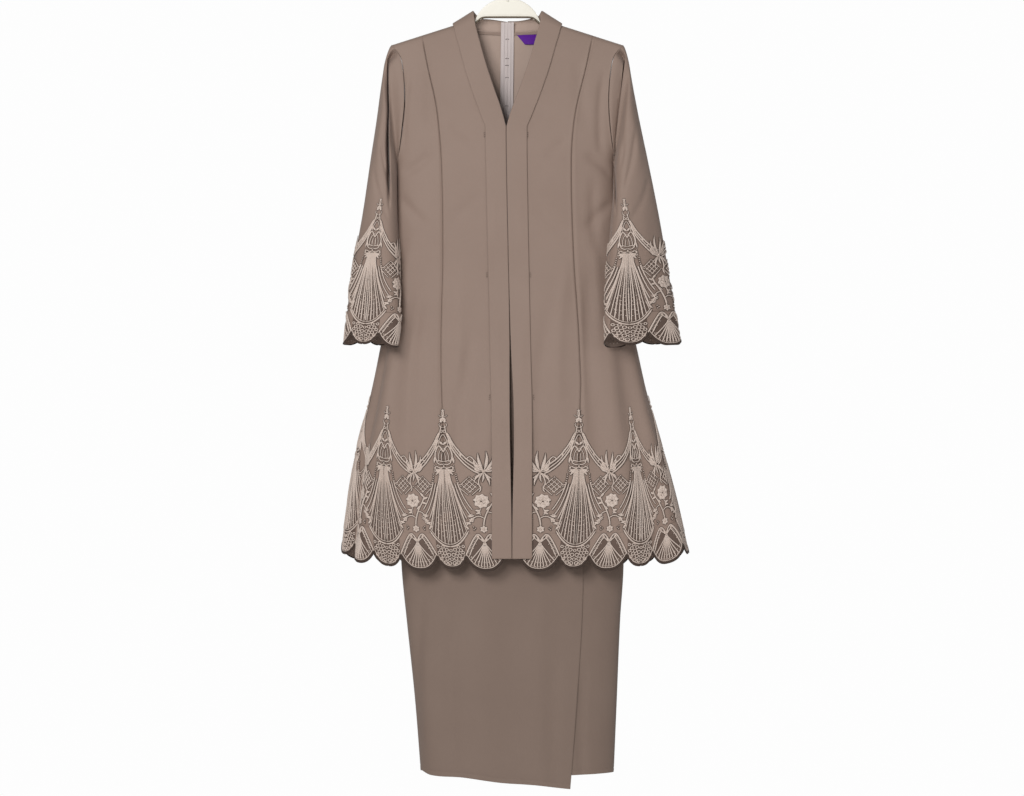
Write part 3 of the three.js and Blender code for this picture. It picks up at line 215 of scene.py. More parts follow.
kebaya_crepe = crepe_finish("kebaya_crepe", (139, 118, 106), (157, 136, 124))
# Painted shade: the skirt's copy of the crepe is darker than the kebaya's.
painted_shade_skirt_crepe = crepe_finish("painted_shade_skirt_crepe", (122, 103, 92), (140, 121, 109))
# Painted light: a paler copy of the crepe for the inner faces of the back panels and the back neckband, which
# brightens their shade.
painted_light_crepe = crepe_finish("painted_light_crepe", (170, 148, 135), (188, 166, 153))


# ------------------------------------------------------------------ the kebaya's body
# Four panels a side, cut to princess seams and sewn with a narrow seam that sinks into the cloth. They hang
# from the shoulder and the bust, and flare to the hem in soft folds.
def curve(table):
    """Smooth curves through a table's columns: the first column is what the others depend on."""
    table = np.array(table, float)
    knots = table[:, 0]
    after = np.minimum(np.arange(len(table)) + 1, len(table) - 1)
    before = np.maximum(np.arange(len(table)) - 1, 0)
    slopes = (table[after] - table[before]) / (knots[after] - knots[before])[:, None]

    def at(value, column=1):
        value = np.asarray(value, float)
        i = np.clip(np.searchsorted(knots, value, side="left") - 1, 0, len(knots) - 2)
        span = knots[i + 1] - knots[i]
        t = np.clip((value - knots[i]) / span, 0, 1)
        a, b = table[i, column], table[i + 1, column]
        rise = slopes[i, column] * (t**3 - 2 * t**2 + t) + slopes[i + 1, column] * (t**3 - t**2)
        return a * (2 * t**3 - 3 * t**2 + 1) + b * (3 * t**2 - 2 * t**3) + span * rise

    return at


def ease(t):
    t = np.clip(t, 0, 1)
    return t * t * (3 - 2 * t)


def lerp(a, b, t):
    return a + (b - a) * t


def unit(ways):
    return ways / np.maximum(np.linalg.norm(ways, axis=-1, keepdims=True), 1e-9)


# All the sizes below are in millimetres. A drop is a distance down from where the rail bears under the hook.
# Drop, the middle line, the widths to its left and right, and the depths of front and back.
body = curve([
    (100, -2.6, 232, 232, 30, 26), (254, -4.2, 226, 222, 34, 30), (310, -5, 212, 208, 37, 33),
    (371, -4.4, 198, 193, 40, 36), (516, -1.6, 204, 202, 42, 38), (614, 0.6, 216, 211, 45, 42),
    (722, 2.8, 236, 230, 51, 47), (794, 4.6, 252, 244, 57, 52), (884, 5.4, 274, 267, 66, 60),
    (974, 5.4, 288, 291, 75, 69), (1098, 5.4, 302, 318, 86, 79),
])
FOLDS = {  # degrees round from the centre front, spread, and how far each fold swells out at the hem
    -1: [(34, 10, -4), (58, 9, 8), (75, 8, -13), (97, 10, 9), (121, 10, -9), (146, 11, 6)],
    1: [(41, 9, 5), (56, 8, -9), (71, 8, 7), (92, 10, 5), (113, 10, -10), (140, 11, 7)],
}
SQUARE, RIDGE, DRAPE, UNDERARM, HEM, HEM_RISE, LACE_TOP = 0.8, 9, 60, 371, 1098, 24, 290
SEAM, LIFT, CLOTH, BAND_CLOTH = 0.3, 0.5, 1.4, 2.2


def shoulder_drop(x):
    return 119 + (x - 97) * 0.32


def body_half(side, drop):
    return body(drop, 2 if side < 0 else 3)


def plain_body(side, turn, drop):
    across = body_half(side, drop) * np.abs(np.sin(turn)) ** SQUARE
    facing = np.cos(turn)
    reach = np.abs(facing) ** SQUARE
    below = np.maximum(0, drop - shoulder_drop(across))
    rounded = 1 - np.minimum(below, RIDGE) / RIDGE
    ridge = RIDGE * np.sqrt(1 - rounded**2) * (1 - (1 - reach) ** 3)
    depth = np.where(facing > 0, body(drop, 4), body(drop, 5)) - RIDGE
    out = ridge + depth * (1 - np.exp(-below / DRAPE)) * reach
    return np.stack([body(drop) + side * across, -np.sign(facing) * out, -drop], -1)


def outward(surface, side, turn, drop):
    along = surface(side, turn + 0.01, drop) - surface(side, turn - 0.01, drop)
    down = surface(side, turn, drop + 2) - surface(side, turn, drop - 2)
    return unit(np.cross(along, down) * -side)


def folded_body(side, turn, drop):
    swell = sum(s * np.exp(-(((turn - math.radians(d)) / math.radians(w)) ** 2)) for d, w, s in FOLDS[side])
    swell = swell * ease((drop - 470) / (HEM - 470))
    return plain_body(side, turn, drop) + outward(plain_body, side, turn, drop) * swell[..., None]


def body_point(side, turn, drop, lift=0.0):
    turn, drop, lift = np.broadcast_arrays(np.asarray(turn, float), np.asarray(drop, float), lift)
    inside = np.clip(turn, 0.012, math.pi - 0.012)
    return folded_body(side, turn, drop) + outward(folded_body, side, inside, drop) * lift[..., None]


GIRTH_DROPS = np.arange(770, 1112, 6.0)
GIRTH_TURNS = np.linspace(0, math.pi, 121)
girth_tables = {}
for side in (-1, 1):
    turns, drops = np.meshgrid(GIRTH_TURNS, GIRTH_DROPS)
    ring = folded_body(side, turns, drops)
    steps = np.linalg.norm(np.diff(ring, axis=1), axis=-1)
    lengths = np.concatenate([np.zeros((len(GIRTH_DROPS), 1)), np.cumsum(steps, axis=1)], axis=1)
    shares = np.linspace(0, 1, 241)
    by_share = np.array([np.interp(shares * row[-1], row, GIRTH_TURNS) for row in lengths])
    girth_tables[side] = (by_share, lengths[:, -1])


def turn_at(side, drop, share):
    """The turn at a share of the half girth, from the centre front to the centre back."""
    by_share, _ = girth_tables[side]
    row = np.clip((np.asarray(drop) - GIRTH_DROPS[0]) / 6, 0, len(GIRTH_DROPS) - 1.001)
    column = np.clip(np.asarray(share) * 240, 0, 239.999)
    i, j = row.astype(int), column.astype(int)
    a, b = row - i, column - j
    upper = by_share[i, j] * (1 - b) + by_share[i, j + 1] * b
    lower = by_share[i + 1, j] * (1 - b) + by_share[i + 1, j + 1] * b
    return upper * (1 - a) + lower * a


def hem_girth(side):
    return float(np.interp(HEM, GIRTH_DROPS, girth_tables[side][1]))


FAN, SMALL, OPENING = 67, 50, 12  # the lace's fans and small scallops, and the plain start beside the opening
lean_top = curve([
    (0, 0), (0.151, 0.219), (0.321, 0.395), (0.491, 0.5), (0.66, 0.605), (0.83, 0.785), (1, 1),
])


def hem_scale(side):
    return hem_girth(side) / (OPENING + 6 * FAN + 5.5 * SMALL)


def hem_place(side, u, height):
    """The turn and drop of a place on the hem: u along it from the centre front, and height."""
    share = u / hem_girth(side)
    hem_turn = turn_at(side, HEM, share)
    drop = HEM - HEM_RISE * np.sin(hem_turn) ** 4 - height
    return turn_at(side, drop, lerp(share, lean_top(share), height / LACE_TOP)), drop


FRONT_EDGE_TOP = 88
NECK_BACK = 131.5
seam_x = {
    "edge": curve([
        (116, FRONT_EDGE_TOP), (171, 74), (214, 62), (258, 46), (301, 29), (335, 13), (371, 10), (1100, 10),
    ]),
    "front_princess": curve([
        (130, 155), (190, 143.5), (276, 124.5), (362, 117), (535, 117.5), (664, 123.5), (800, 126),
    ]),
    "back_princess": curve([(130, 150), (240, 126), (371, 112), (535, 108), (664, 114), (800, 123)]),
    "side": curve([
        (155, 208), (163, 201), (178, 191.5), (212, 185.5), (258, 183.5),
        (303, 187), (345, 192.5), (371, 198),
    ]),
}


def turn_of(side, x, drop):
    return np.arcsin(np.clip(x / body_half(side, drop), 0, 1) ** (1 / SQUARE))


def seam_turn(side, seam, drop, is_back):
    if seam == "centre_back":
        return np.full_like(drop, math.pi)
    turn = turn_of(side, seam_x[seam](drop), drop)
    if seam == "side":
        turn = np.where(drop >= UNDERARM, math.pi / 2, turn)
    return math.pi - turn if is_back else turn


def seam_u(side, seam):
    """Where a seam meets the hem, along the lace from the centre front."""
    starts = [OPENING + (FAN + SMALL) * (k // 2) + (FAN if k % 2 else 0) for k in range(12)]
    places = {
        "edge": starts[0] - 0.03 * FAN, "front_princess": starts[1] + SMALL / 2,
        "side": starts[5] + SMALL / 2, "back_princess": starts[9] + SMALL / 2,
    }
    return hem_girth(side) if seam == "centre_back" else places[seam] * hem_scale(side)


def top_drop(x, is_back):
    plain = shoulder_drop(x)
    if not is_back:
        return plain
    sunk = NECK_BACK - (NECK_BACK - shoulder_drop(FRONT_EDGE_TOP)) * (x / FRONT_EDGE_TOP) ** 2
    return np.where(x > FRONT_EDGE_TOP, plain, sunk)


def panel_place(side, seams, is_back, across, down):
    """Turns and drops of a panel's grid, from shares across between its seams and shares down to the lace."""
    keys = []
    for step in np.linspace(0, 1, 26) ** 1.4:
        drop = np.full_like(across, lerp(119, UNDERARM, step))
        for _ in range(16):
            ends = [seam_turn(side, seam, drop, is_back) for seam in seams]
            turn = lerp(*ends, across)
            drop = lerp(top_drop(body_half(side, drop) * np.sin(turn) ** SQUARE, is_back), UNDERARM, step)
        keys.append((turn, drop))
    for level in (390, 415, 440, 478, 516, 565, 614, 657, 700, 730, 760):
        drop = np.full_like(across, float(level))
        keys.append((lerp(*[seam_turn(side, seam, drop, is_back) for seam in seams], across), drop))
    u = lerp(seam_u(side, seams[0]), seam_u(side, seams[1]), across)
    for height in (240, 210, 182, 147, 112, 86, 60):
        keys.append(hem_place(side, u, height))
    turns, drops = np.array([k[0] for k in keys]), np.array([k[1] for k in keys])
    fine_turns, fine_drops = [], []
    for c in range(len(across)):
        wanted = lerp(drops[0, c], drops[-1, c], down)
        fine_drops.append(wanted)
        fine_turns.append(np.interp(wanted, drops[:, c], turns[:, c]))
    return np.array(fine_turns).T, np.array(fine_drops).T


def shares_with_seams(wide, step, close=(0.7, 1.6, 2.8, 4.6)):
    """Shares from 0 to 1 across a piece, closer together beside its two seams."""
    middle = np.linspace(7, wide - 7, max(3, int(wide / step)))
    return np.concatenate([[0], close, middle, wide - np.array(close[::-1]), [wide]]) / wide


def creased(x, drop, creases):
    """How far soft creases move the cloth: each runs from one place to another, with its width and depth."""
    moved = np.zeros_like(x)
    for x0, drop0, x1, drop1, wide, deep in creases:
        along = np.array([x1 - x0, drop1 - drop0], float)
        length = np.hypot(*along)
        way = along / length
        t = ((x - x0) * way[0] + (drop - drop0) * way[1]) / length
        off = (x - x0) * way[1] - (drop - drop0) * way[0] + 0.04 * length * np.sin(3 * t)
        fade = ease(t / 0.3) * ease((1 - t) / 0.3)
        moved += deep * fade * np.exp(-((off / wide) ** 2))
    return moved


def body_creases(side, turn, drop):
    """How far the creases move the cloth out at a place of the body."""
    x = plain_body(side, turn, drop)[..., 0]
    front, back = (creased(x, drop, BODY_CREASES[side, is_back]) for is_back in (False, True))
    return np.where(turn < math.pi / 2, front, back) * ease(np.abs(np.cos(turn)) / 0.4)


def fitted(piece, slot, *nodes):
    """Hangs a piece on the frame's root and hides the nodes that it stands for. Its slot is not used."""
    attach(piece, "root")
    if nodes:
        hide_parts(*nodes)


def grid_piece(name, points, outwards, nodes, finish, cloth, slot, flat_size, painted_light_inside=None):
    """A wall of cloth over a grid of points (rows down, columns across), which are its outer face.

    Its inner face has a second finish, if there is one: a paler copy of the crepe, which is painted light."""
    rows, columns = points.shape[:2]
    bm = bmesh.new()
    uv = bm.loops.layers.uv.new("UVMap")
    bmesh.ops.create_grid(bm, x_segments=columns - 1, y_segments=rows - 1, size=0.5, calc_uvs=True)
    wide, long = flat_size
    for vert in bm.verts:
        i, j = round((vert.co.x + 0.5) * (columns - 1)), round((0.5 - vert.co.y) * (rows - 1))
        vert.co = points[j, i] / 1000
    for face in bm.faces:
        face.smooth = True
        for loop in face.loops:
            loop[uv].uv = (loop[uv].uv.x * wide, loop[uv].uv.y * long)
    bm.normal_update()
    middle = points[rows // 2, columns // 2] / 1000
    nearest = min(bm.faces, key=lambda face: (face.calc_center_median() - Vector(middle)).length)
    if nearest.normal.dot(Vector(outwards)) < 0:
        bmesh.ops.reverse_faces(bm, faces=bm.faces)
    made = made_of(f"{name}_cloth", bm, *([finish, painted_light_inside] if painted_light_inside else [finish]))
    wall = made.modifiers.new("wall", "SOLIDIFY")
    wall.thickness, wall.offset = cloth / 1000, -1
    wall.material_offset = 1 if painted_light_inside else 0
    fitted(made, slot, *nodes)
    return made


cloths = {}


def as_sheet(name, piece, flat, rests_on, area=None):
    """Notes a piece as a sheet of cloth, with what it rests on and its area; what is sewn on it is added
    later.
    """
    cloths[name] = {
        "obj": piece, "flat": flat, "held": "hung", "rests_on": rests_on, "area": area, "with_pieces": [],
    }


SIDE_NAMES = {-1: "left", 1: "right"}
PANELS = {
    "front_centre": ("edge", "front_princess"), "front_side": ("front_princess", "side"),
    "back_side": ("back_princess", "side"), "back_centre": ("centre_back", "back_princess"),
}
# Soft creases by x and drop, on each side of the front and back: from, to, half width, and depth, which sinks
# where it is below 0.
BODY_CREASES = {
    (-1, False): [
        (-60, 330, -112, 300, 9, -1.8), (-58, 640, -92, 1010, 11, -3.6), (-84, 560, -66, 900, 13, 2.4),
        (-196, 392, -134, 346, 8, -4.2), (-200, 424, -140, 486, 9, -4.0), (-146, 540, -178, 980, 10, -5.6),
        (-180, 600, -224, 1040, 12, 4.0), (-166, 470, -180, 700, 9, 2.8), (-128, 150, -140, 330, 12, -2.2),
        (-176, 186, -186, 360, 7, -3.2), (-112, 980, -118, 1100, 9, -2.2), (-40, 420, -112, 486, 9, -1.4),
    ],
    (1, False): [
        (58, 360, 108, 322, 9, -1.7), (76, 600, 60, 1000, 12, -3.2), (112, 500, 96, 860, 11, 2.4),
        (190, 395, 132, 350, 8, -4.2), (196, 430, 134, 494, 9, -4.4), (146, 520, 176, 960, 10, -5.6),
        (182, 620, 236, 1040, 12, 4.2), (160, 460, 174, 700, 9, 2.6), (126, 160, 144, 330, 12, -2.0),
        (172, 190, 168, 372, 7, -3.6), (152, 380, 166, 560, 8, -3.8), (40, 440, 110, 500, 9, -1.4),
    ],
    (-1, True): [
        (-192, 396, -130, 372, 9, -3.4), (-160, 540, -190, 980, 13, -5.0), (-118, 200, -150, 330, 13, -2.4),
        (-20, 180, -90, 240, 16, -1.8), (-24, 470, -96, 520, 14, -3.0), (-60, 600, -84, 980, 15, 3.6),
        (-120, 640, -136, 960, 13, 3.0), (-196, 660, -238, 1040, 12, 3.8),
    ],
    (1, True): [
        (188, 392, 128, 364, 9, -3.4), (150, 560, 196, 980, 13, -4.8), (120, 190, 152, 320, 12, -2.4),
        (24, 176, 92, 236, 16, -1.8), (18, 500, 90, 470, 13, -2.8), (50, 580, 92, 960, 15, 3.8),
        (116, 620, 128, 920, 13, 2.8), (194, 640, 236, 1030, 12, 3.6),
    ],
}
FLAT_PANELS = {  # metres wide and long, as cut
    "front_centre": (0.146, 0.95), "front_side": (0.225, 0.93),
    "back_side": (0.225, 0.93), "back_centre": (0.21, 0.93),
}
PANEL_WIDE, PANEL_LONG = 110, 900  # the panel that the spacing of all the panels' grids is worked out for


def sheet_area(points):
    a = points[:-1, :-1]
    cross = np.cross(points[1:, :-1] - a, points[:-1, 1:] - a)
    return float(np.linalg.norm(cross, axis=-1).sum()) / 1e6


for side in (-1, 1):
    for panel, seams in PANELS.items():
        name = f"{panel}_{SIDE_NAMES[side]}"
        is_back = panel.startswith("back")
        across = shares_with_seams(PANEL_WIDE, 6)
        close_top = np.array([0, 0.8, 2, 4, 6.5, 9.5, 13, 17, 22]) / PANEL_LONG
        down = np.concatenate([close_top, np.linspace(28 / PANEL_LONG, 1, 170)])
        turns, drops = panel_place(side, seams, is_back, across, down)
        apart = 0.5 * SEAM / body_half(side, drops)
        inwards = np.where(across == 0, 1, np.where(across == 1, -1, 0))
        turns = turns + inwards * apart * np.sign(turns[:, -1:] - turns[:, :1])
        from_seam = np.minimum(across, 1 - across) * PANEL_WIDE
        sunk = -1.7 * np.exp(-((from_seam / 1.7) ** 2)) + 0.6 * np.exp(-(((from_seam - 4.5) / 2.2) ** 2))
        moved = body_creases(side, turns, drops)
        below_top = drops - drops[:1]
        moved += sunk[None, :] * ease((below_top - 4) / 20)
        moved -= 0.7 * np.exp(-((below_top / 2.4) ** 2))
        points = body_point(side, turns, drops, moved)
        # The back panels' inner faces take the paler crepe, which is painted light.
        shown = grid_piece(
            name, points, (0, 1 if is_back else -1, 0), [name], kebaya_crepe, CLOTH, "crepe",
            FLAT_PANELS[panel], painted_light_crepe if is_back else None,
        )
        as_sheet(name, shown, FLAT_PANELS[panel], ["hanger"], sheet_area(points))


# ------------------------------------------------------------------ the bands of the opening and the neck
# Two strips of doubled cloth run in one piece from their plain ends up the opening, round the V and over the
# shoulder seam, sewn on by their outer edges. They meet edge to edge at the top and stand a little open
# below.
band = curve([
    (304, 0.2, 37.6, 0), (371, 0.2, 37.2, 0), (440, 0.2, 37.0, 0), (516, 0.2, 36.8, 0), (614, 0.3, 36.6, 0),
    (700, 1.0, 36.6, 0), (760, 2.6, 36.6, 0), (830, 3.6, 36.5, 0.6), (890, 3.1, 36.2, 3.2),
    (960, 1.5, 36, 3.2), (1020, 0.6, 36, 3.2), (1077, 0.3, 36, 3.2),
])
NECK = [  # step, then drop and x of the sewn edge, and of the free edge
    (0, 303, 37.6, 303, 0.2), (1, 279, 47.5, 271, 9.3), (2, 236, 63.5, 230, 24), (3, 193, 77.5, 187, 38.5),
    (4, 154, 88, 143, 51), (5, 132, 94, 118, 57.5), (6, 119, 97, 96, 60), (7, 125, 84, 101, 55),
    (8, 130, 56, 107, 40), (9, 133.5, 0, 110.5, 0),
]
SHOULDER_STEP, BAND_WIDE, BAND_END = 6, 36.2, 1077
BAND_SHARES = np.array([
    0, 0.35, 0.8, 1.5, 2.6, 5, 9, 14, 19, 24, 28, 31.5, 33.6, 34.7, 35.4, 35.8, BAND_WIDE,
]) / BAND_WIDE
BAND_CREASES = [(30, 640, 22, 780, 7, 0.7), (9, 800, 14, 960, 7, -0.8), (24, 420, 28, 520, 6, 0.5)]
neck_seam = curve([
    (step, x, math.copysign(math.sqrt(drop - shoulder_drop(x)), step - SHOULDER_STEP))
    for step, drop, x, _, _ in NECK
])
neck_edge = curve([(step, x, drop) for step, _, _, drop, x in NECK])


def rolled_edge(across, wide, roll=1.1, reach=1.5):
    """How far the edges of a strip roll back."""
    from_edge = np.minimum(across, 1 - across) * wide
    return -roll * np.clip(1 - from_edge / reach, 0, 1) ** 2


def neckband_place(side, step, across):
    x = lerp(neck_seam(step), neck_edge(step), across)
    root = neck_seam(step, 2)
    seam_drop = shoulder_drop(neck_seam(step)) + root**2
    drop = lerp(seam_drop, neck_edge(step, 2), across)
    seam_turn_here = turn_of(side, neck_seam(step), seam_drop)
    seam_point = plain_body(side, np.where(root > 0, math.pi - seam_turn_here, seam_turn_here), seam_drop)
    on_body = plain_body(side, turn_of(side, x, drop), drop)
    on_body[..., 1] = lerp(on_body[..., 1], seam_point[..., 1], ease(step - 4))
    return on_body


def neckband_point(side, step, across, lift):
    before, after = np.maximum(step - 0.04, 0), np.minimum(step + 0.04, 9)
    along = neckband_place(side, after, across) - neckband_place(side, before, across)
    free, sewn = [neckband_place(side, step, np.full_like(across, share)) for share in (1.0, 0.0)]
    out = unit(np.cross(free - sewn, along) * -side)
    return neckband_place(side, step, across) + out * lift[..., None]


def neckband_lift(step, across):
    return LIFT + 0.9 * np.exp(-((step - SHOULDER_STEP) ** 2)) + BAND_CLOTH + rolled_edge(across, BAND_WIDE)


for side in (-1, 1):
    a, step = np.meshgrid(BAND_SHARES, np.linspace(5.985, 0, 110))
    upper = neckband_point(side, step, a, neckband_lift(step, a))
    levels = np.concatenate([np.linspace(307, 1072, 160), [1074.5, 1076.2, BAND_END]])
    a, d = np.meshgrid(BAND_SHARES[::-1], levels)
    turns = turn_of(side, lerp(band(d), band(d, 2), a), d)
    lift = LIFT + band(d, 3) + BAND_CLOTH + rolled_edge(a, BAND_WIDE)
    lift -= 0.9 * np.clip(1 - (BAND_END - d) / 1.6, 0, 1) ** 2
    lift += creased(a * BAND_WIDE, d, BAND_CREASES) - 0.5 * np.exp(-(((BAND_END - d - 13) / 1.1) ** 2))
    points = np.concatenate([upper, body_point(side, turns, d, lift)])
    where = SIDE_NAMES[side]
    strip = grid_piece(
        f"band_{where}", points, (0, -1, 0), [f"neckband_front_{where}", f"front_band_{where}"], kebaya_crepe,
        BAND_CLOTH - 0.3, "crepe", (0.04, 1.03),
    )
    as_sheet(f"band_{where}", strip, (0.080, 1.06), [f"front_centre_{where}_cloth"], 0.0424)


# ------------------------------------------------------------------ the back of the neckband
# The band goes on round the back of the neck, where it stands up between the shoulder seams. Its free edge is
# a little wavy, and its two ends meet at the centre back behind the zip.
for side in (-1, 1):
    a, step = np.meshgrid(BAND_SHARES, np.linspace(6.015, 8.995, 56))
    points = neckband_point(side, step, a, neckband_lift(step, a))
    near_edge = np.exp(-(((1 - a) / 0.3) ** 2)) * ease((step - 6.3) / 0.6)
    points[..., 2] += 0.9 * np.sin(step * 4.1 + side) * near_edge
    name = f"neckband_back_{SIDE_NAMES[side]}"
    # Its inner face takes the paler crepe, which is painted light.
    strip = grid_piece(
        name, points, (0, 1, 0.3), [name], kebaya_crepe, BAND_CLOTH - 0.3, "crepe", (0.04, 0.12),
        painted_light_crepe,
    )
    as_sheet(name, strip, (0.080, 0.105), [f"back_centre_{SIDE_NAMES[side]}_cloth"], 0.0032)


# Inside, the neck seam's turnings are folded down and bound, and stand off the panel.
for side in (-1, 1):
    a, step = np.meshgrid(np.array([0.07, 0.055, 0.0, -0.1, -0.155, -0.17]), np.linspace(6.05, 8.99, 56))
    points = neckband_point(side, step, a, -2.2 - 0.6 * np.exp(-(((a + 0.14) / 0.05) ** 2)))
    where = SIDE_NAMES[side]
    strip = grid_piece(
        f"neck_turning_{where}", points, (0, -1, 0), [f"neckband_back_{where}"], kebaya_crepe, 0.9, "crepe",
        (0.01, 0.105),
    )
    cloths[f"neckband_back_{where}"]["with_pieces"].append(strip)


# ------------------------------------------------------------------ the sleeves
# Long set-in sleeves, cut in one piece with a seam under the arm. They hang forward of the body from a
# shoulder pad, with a deep fold beside the armhole and soft creases round the bend of the arm.
sleeve_rows = curve([  # down, outer and inner drop, outer y, inner y on the left and right, half depth
    (0, 155, 371, 0, 0, 0, 33), (0.06, 168, 376, 0, -2, -3, 30), (0.14, 205, 388, -1, -5, -10, 34),
    (0.25, 262, 412, -3, -9, -24, 36), (0.4, 350, 462, -7, -22, -46, 35), (0.6, 468, 540, -12, -46, -68, 31),
    (0.8, 585, 622, -17, -65, -80, 28), (1, 695, 700, -22, -74, -88, 26),
])
sleeve_outer = curve([
    (155, 212, 209), (168, 220, 213), (218, 228.5, 221), (290, 238, 234), (362, 248.5, 248), (470, 263, 268),
    (578, 281, 286), (700, 293, 307),
])
sleeve_inner = curve([
    (371, 200, 187.5), (398, 201, 187.5), (481, 200, 184), (529, 199.5, 180.5), (591, 198.5, 175),
    (646, 196, 173), (700, 203, 173.5),
])


SLEEVE_ROUND, SLEEVE_LONG = 300, 560  # a sleeve's girth and length, which its creases are drawn on
ARMHOLE_GAP = SEAM / 400  # as a turn round the body, about 0.15 mm


def sleeve_surface(side, down, around):
    """around is 0 at the outer line, a quarter at the front, a half at the inner line."""
    column = 1 if side < 0 else 2
    outer_drop, inner_drop = sleeve_rows(down, 1), sleeve_rows(down, 2)
    outer_x, inner_x = side * sleeve_outer(outer_drop, column), side * sleeve_inner(inner_drop, column)
    outer = np.stack([outer_x, sleeve_rows(down, 3), -outer_drop], -1)
    inner = np.stack([inner_x, sleeve_rows(down, 3 + column), -inner_drop], -1)
    half, middle = (outer - inner) / 2, (outer + inner) / 2
    outwards = unit(half)
    back = unit(np.array([0.0, 1.0, 0.0]) - outwards * outwards[..., 1:2])
    fold = 1 - 0.55 * np.exp(-(((down - 0.09) / 0.05) ** 2))
    depth = sleeve_rows(down, 6) * fold
    angle = 2 * math.pi * around
    cos, sin = (np.sign(f) * np.abs(f) ** 0.85 for f in (np.cos(angle), np.sin(angle)))
    hung = middle + half * cos[..., None] - back * (depth * sin)[..., None]
    grown = ease(down / 0.12)
    top = shoulder_drop(208)
    drop = lerp(top, UNDERARM, (1 - np.cos(angle)) / 2)
    turn = seam_turn(side, "side", np.minimum(drop, UNDERARM - 0.01), False)
    turn = np.where(around > 0.5, math.pi - turn, turn) + np.where(around > 0.5, -1, 1) * ARMHOLE_GAP
    sewn = body_point(side, turn, drop)
    return sewn + (hung - sewn) * grown[..., None]


def sleeve_point(side, down, around, lift=0.0):
    down, around, lift = np.broadcast_arrays(down, around, lift)
    above, below = np.maximum(down - 0.004, 0), np.minimum(down + 0.004, 1)
    along = sleeve_surface(side, below, around) - sleeve_surface(side, above, around)
    after, before = [sleeve_surface(side, down, (around + step) % 1) for step in (0.004, -0.004)]
    out = unit(np.cross(after - before, along) * side)
    return sleeve_surface(side, down, around) + out * lift[..., None]


cuff_lengths = {}
for side in (-1, 1):
    ring = sleeve_surface(side, np.ones(91), (1.5 - np.arange(91) / 90) % 1)
    cuff_lengths[side] = np.concatenate([[0], np.cumsum(np.linalg.norm(np.diff(ring, axis=0), axis=1))])


def cuff_round(side, u):
    """A place round the cuff, u from the inner line over the front."""
    lengths = cuff_lengths[side]
    return (1.5 - np.interp(u % lengths[-1], lengths, np.arange(91) / 90)) % 1


def down_at(side, around, height):
    """How far down the sleeve a place lies that is so high above the cuff's edge."""
    wanted = sleeve_surface(side, np.ones_like(around), around)[..., 2] + height
    low, high = np.zeros_like(around), np.ones_like(around)
    for _ in range(14):
        middle = (low + high) / 2
        above = sleeve_surface(side, middle, around)[..., 2] > wanted
        low, high = np.where(above, middle, low), np.where(above, high, middle)
    return (low + high) / 2


# Creases of each sleeve by place round it (0 to 1) and down it (0 to 1): from, to, half width and depth.
SLEEVE_CREASES = {
    -1: [
        (0.16, 0.3, 0.36, 0.38, 9, -3.0), (0.12, 0.42, 0.34, 0.5, 9, -2.4),
        (0.3, 0.1, 0.27, 0.34, 10.5, -2.6), (0.2, 0.12, 0.17, 0.42, 12, 2.2),
        (0.66, 0.2, 0.8, 0.42, 12, -3.0), (0.72, 0.45, 0.9, 0.56, 10.5, -2.6),
        (0.22, 0.5, 0.3, 0.82, 12, 1.8), (0.6, 0.34, 0.62, 0.8, 15, 2.0),
    ],
    1: [
        (0.14, 0.28, 0.34, 0.4, 9, -2.8), (0.1, 0.46, 0.32, 0.54, 9, -2.2),
        (0.28, 0.1, 0.3, 0.3, 10.5, -2.8), (0.18, 0.14, 0.2, 0.44, 12, 2.0),
        (0.64, 0.24, 0.82, 0.4, 12, -2.8), (0.7, 0.48, 0.88, 0.6, 10.5, -2.8),
        (0.24, 0.52, 0.28, 0.84, 12, 2.0), (0.58, 0.3, 0.6, 0.78, 15, 1.8),
    ],
}
# The deep fold beside the armhole runs down the front of each sleeve: x by drop, half width and depth.
ARMHOLE_FOLD = {
    -1: curve([(150, 219), (200, 218), (371, 216), (500, 214)]),
    1: curve([(150, 212), (260, 200), (371, 187.5), (500, 186)]),
}
FOLD_WIDE, FOLD_DEEP, SLEEVE_GIRTH = 3.4, 27, 205
FOLD_ROWS = np.linspace(0, 0.6, 121)
fold_rounds = {}
for side in (-1, 1):
    rounds = np.linspace(0.08, 0.42, 89)
    a, d = np.meshgrid(rounds, FOLD_ROWS)
    plain = sleeve_surface(side, d, a)
    beyond = np.abs(plain[..., 0]) - ARMHOLE_FOLD[side](-plain[..., 2])
    fold_rounds[side] = [float(np.interp(0, row[::-1], rounds[::-1])) for row in beyond]


def armhole_fold(side, around, down):
    """How far back the deep fold draws the cloth of the sleeve's front."""
    fold = np.interp(down, FOLD_ROWS, fold_rounds[side])
    off = (around - fold) * SLEEVE_GIRTH
    shown = ease((down - 0.012) / 0.05) * ease((0.46 - down) / 0.16) * np.sin(2 * math.pi * fold)
    return shown * (FOLD_DEEP * np.exp(-((off / FOLD_WIDE) ** 2)) - 2.2 * np.exp(-(((off - 9) / 5) ** 2)))


def sleeve_creases(side, around, down):
    moved = 0.0
    for a0, d0, a1, d1, wide, deep in SLEEVE_CREASES[side]:
        run = [(a0 * SLEEVE_ROUND, d0 * SLEEVE_LONG, a1 * SLEEVE_ROUND, d1 * SLEEVE_LONG, wide, deep)]
        for turn in (-1, 0, 1):
            moved += creased((around + turn) * SLEEVE_ROUND, down * SLEEVE_LONG, run)
    return moved


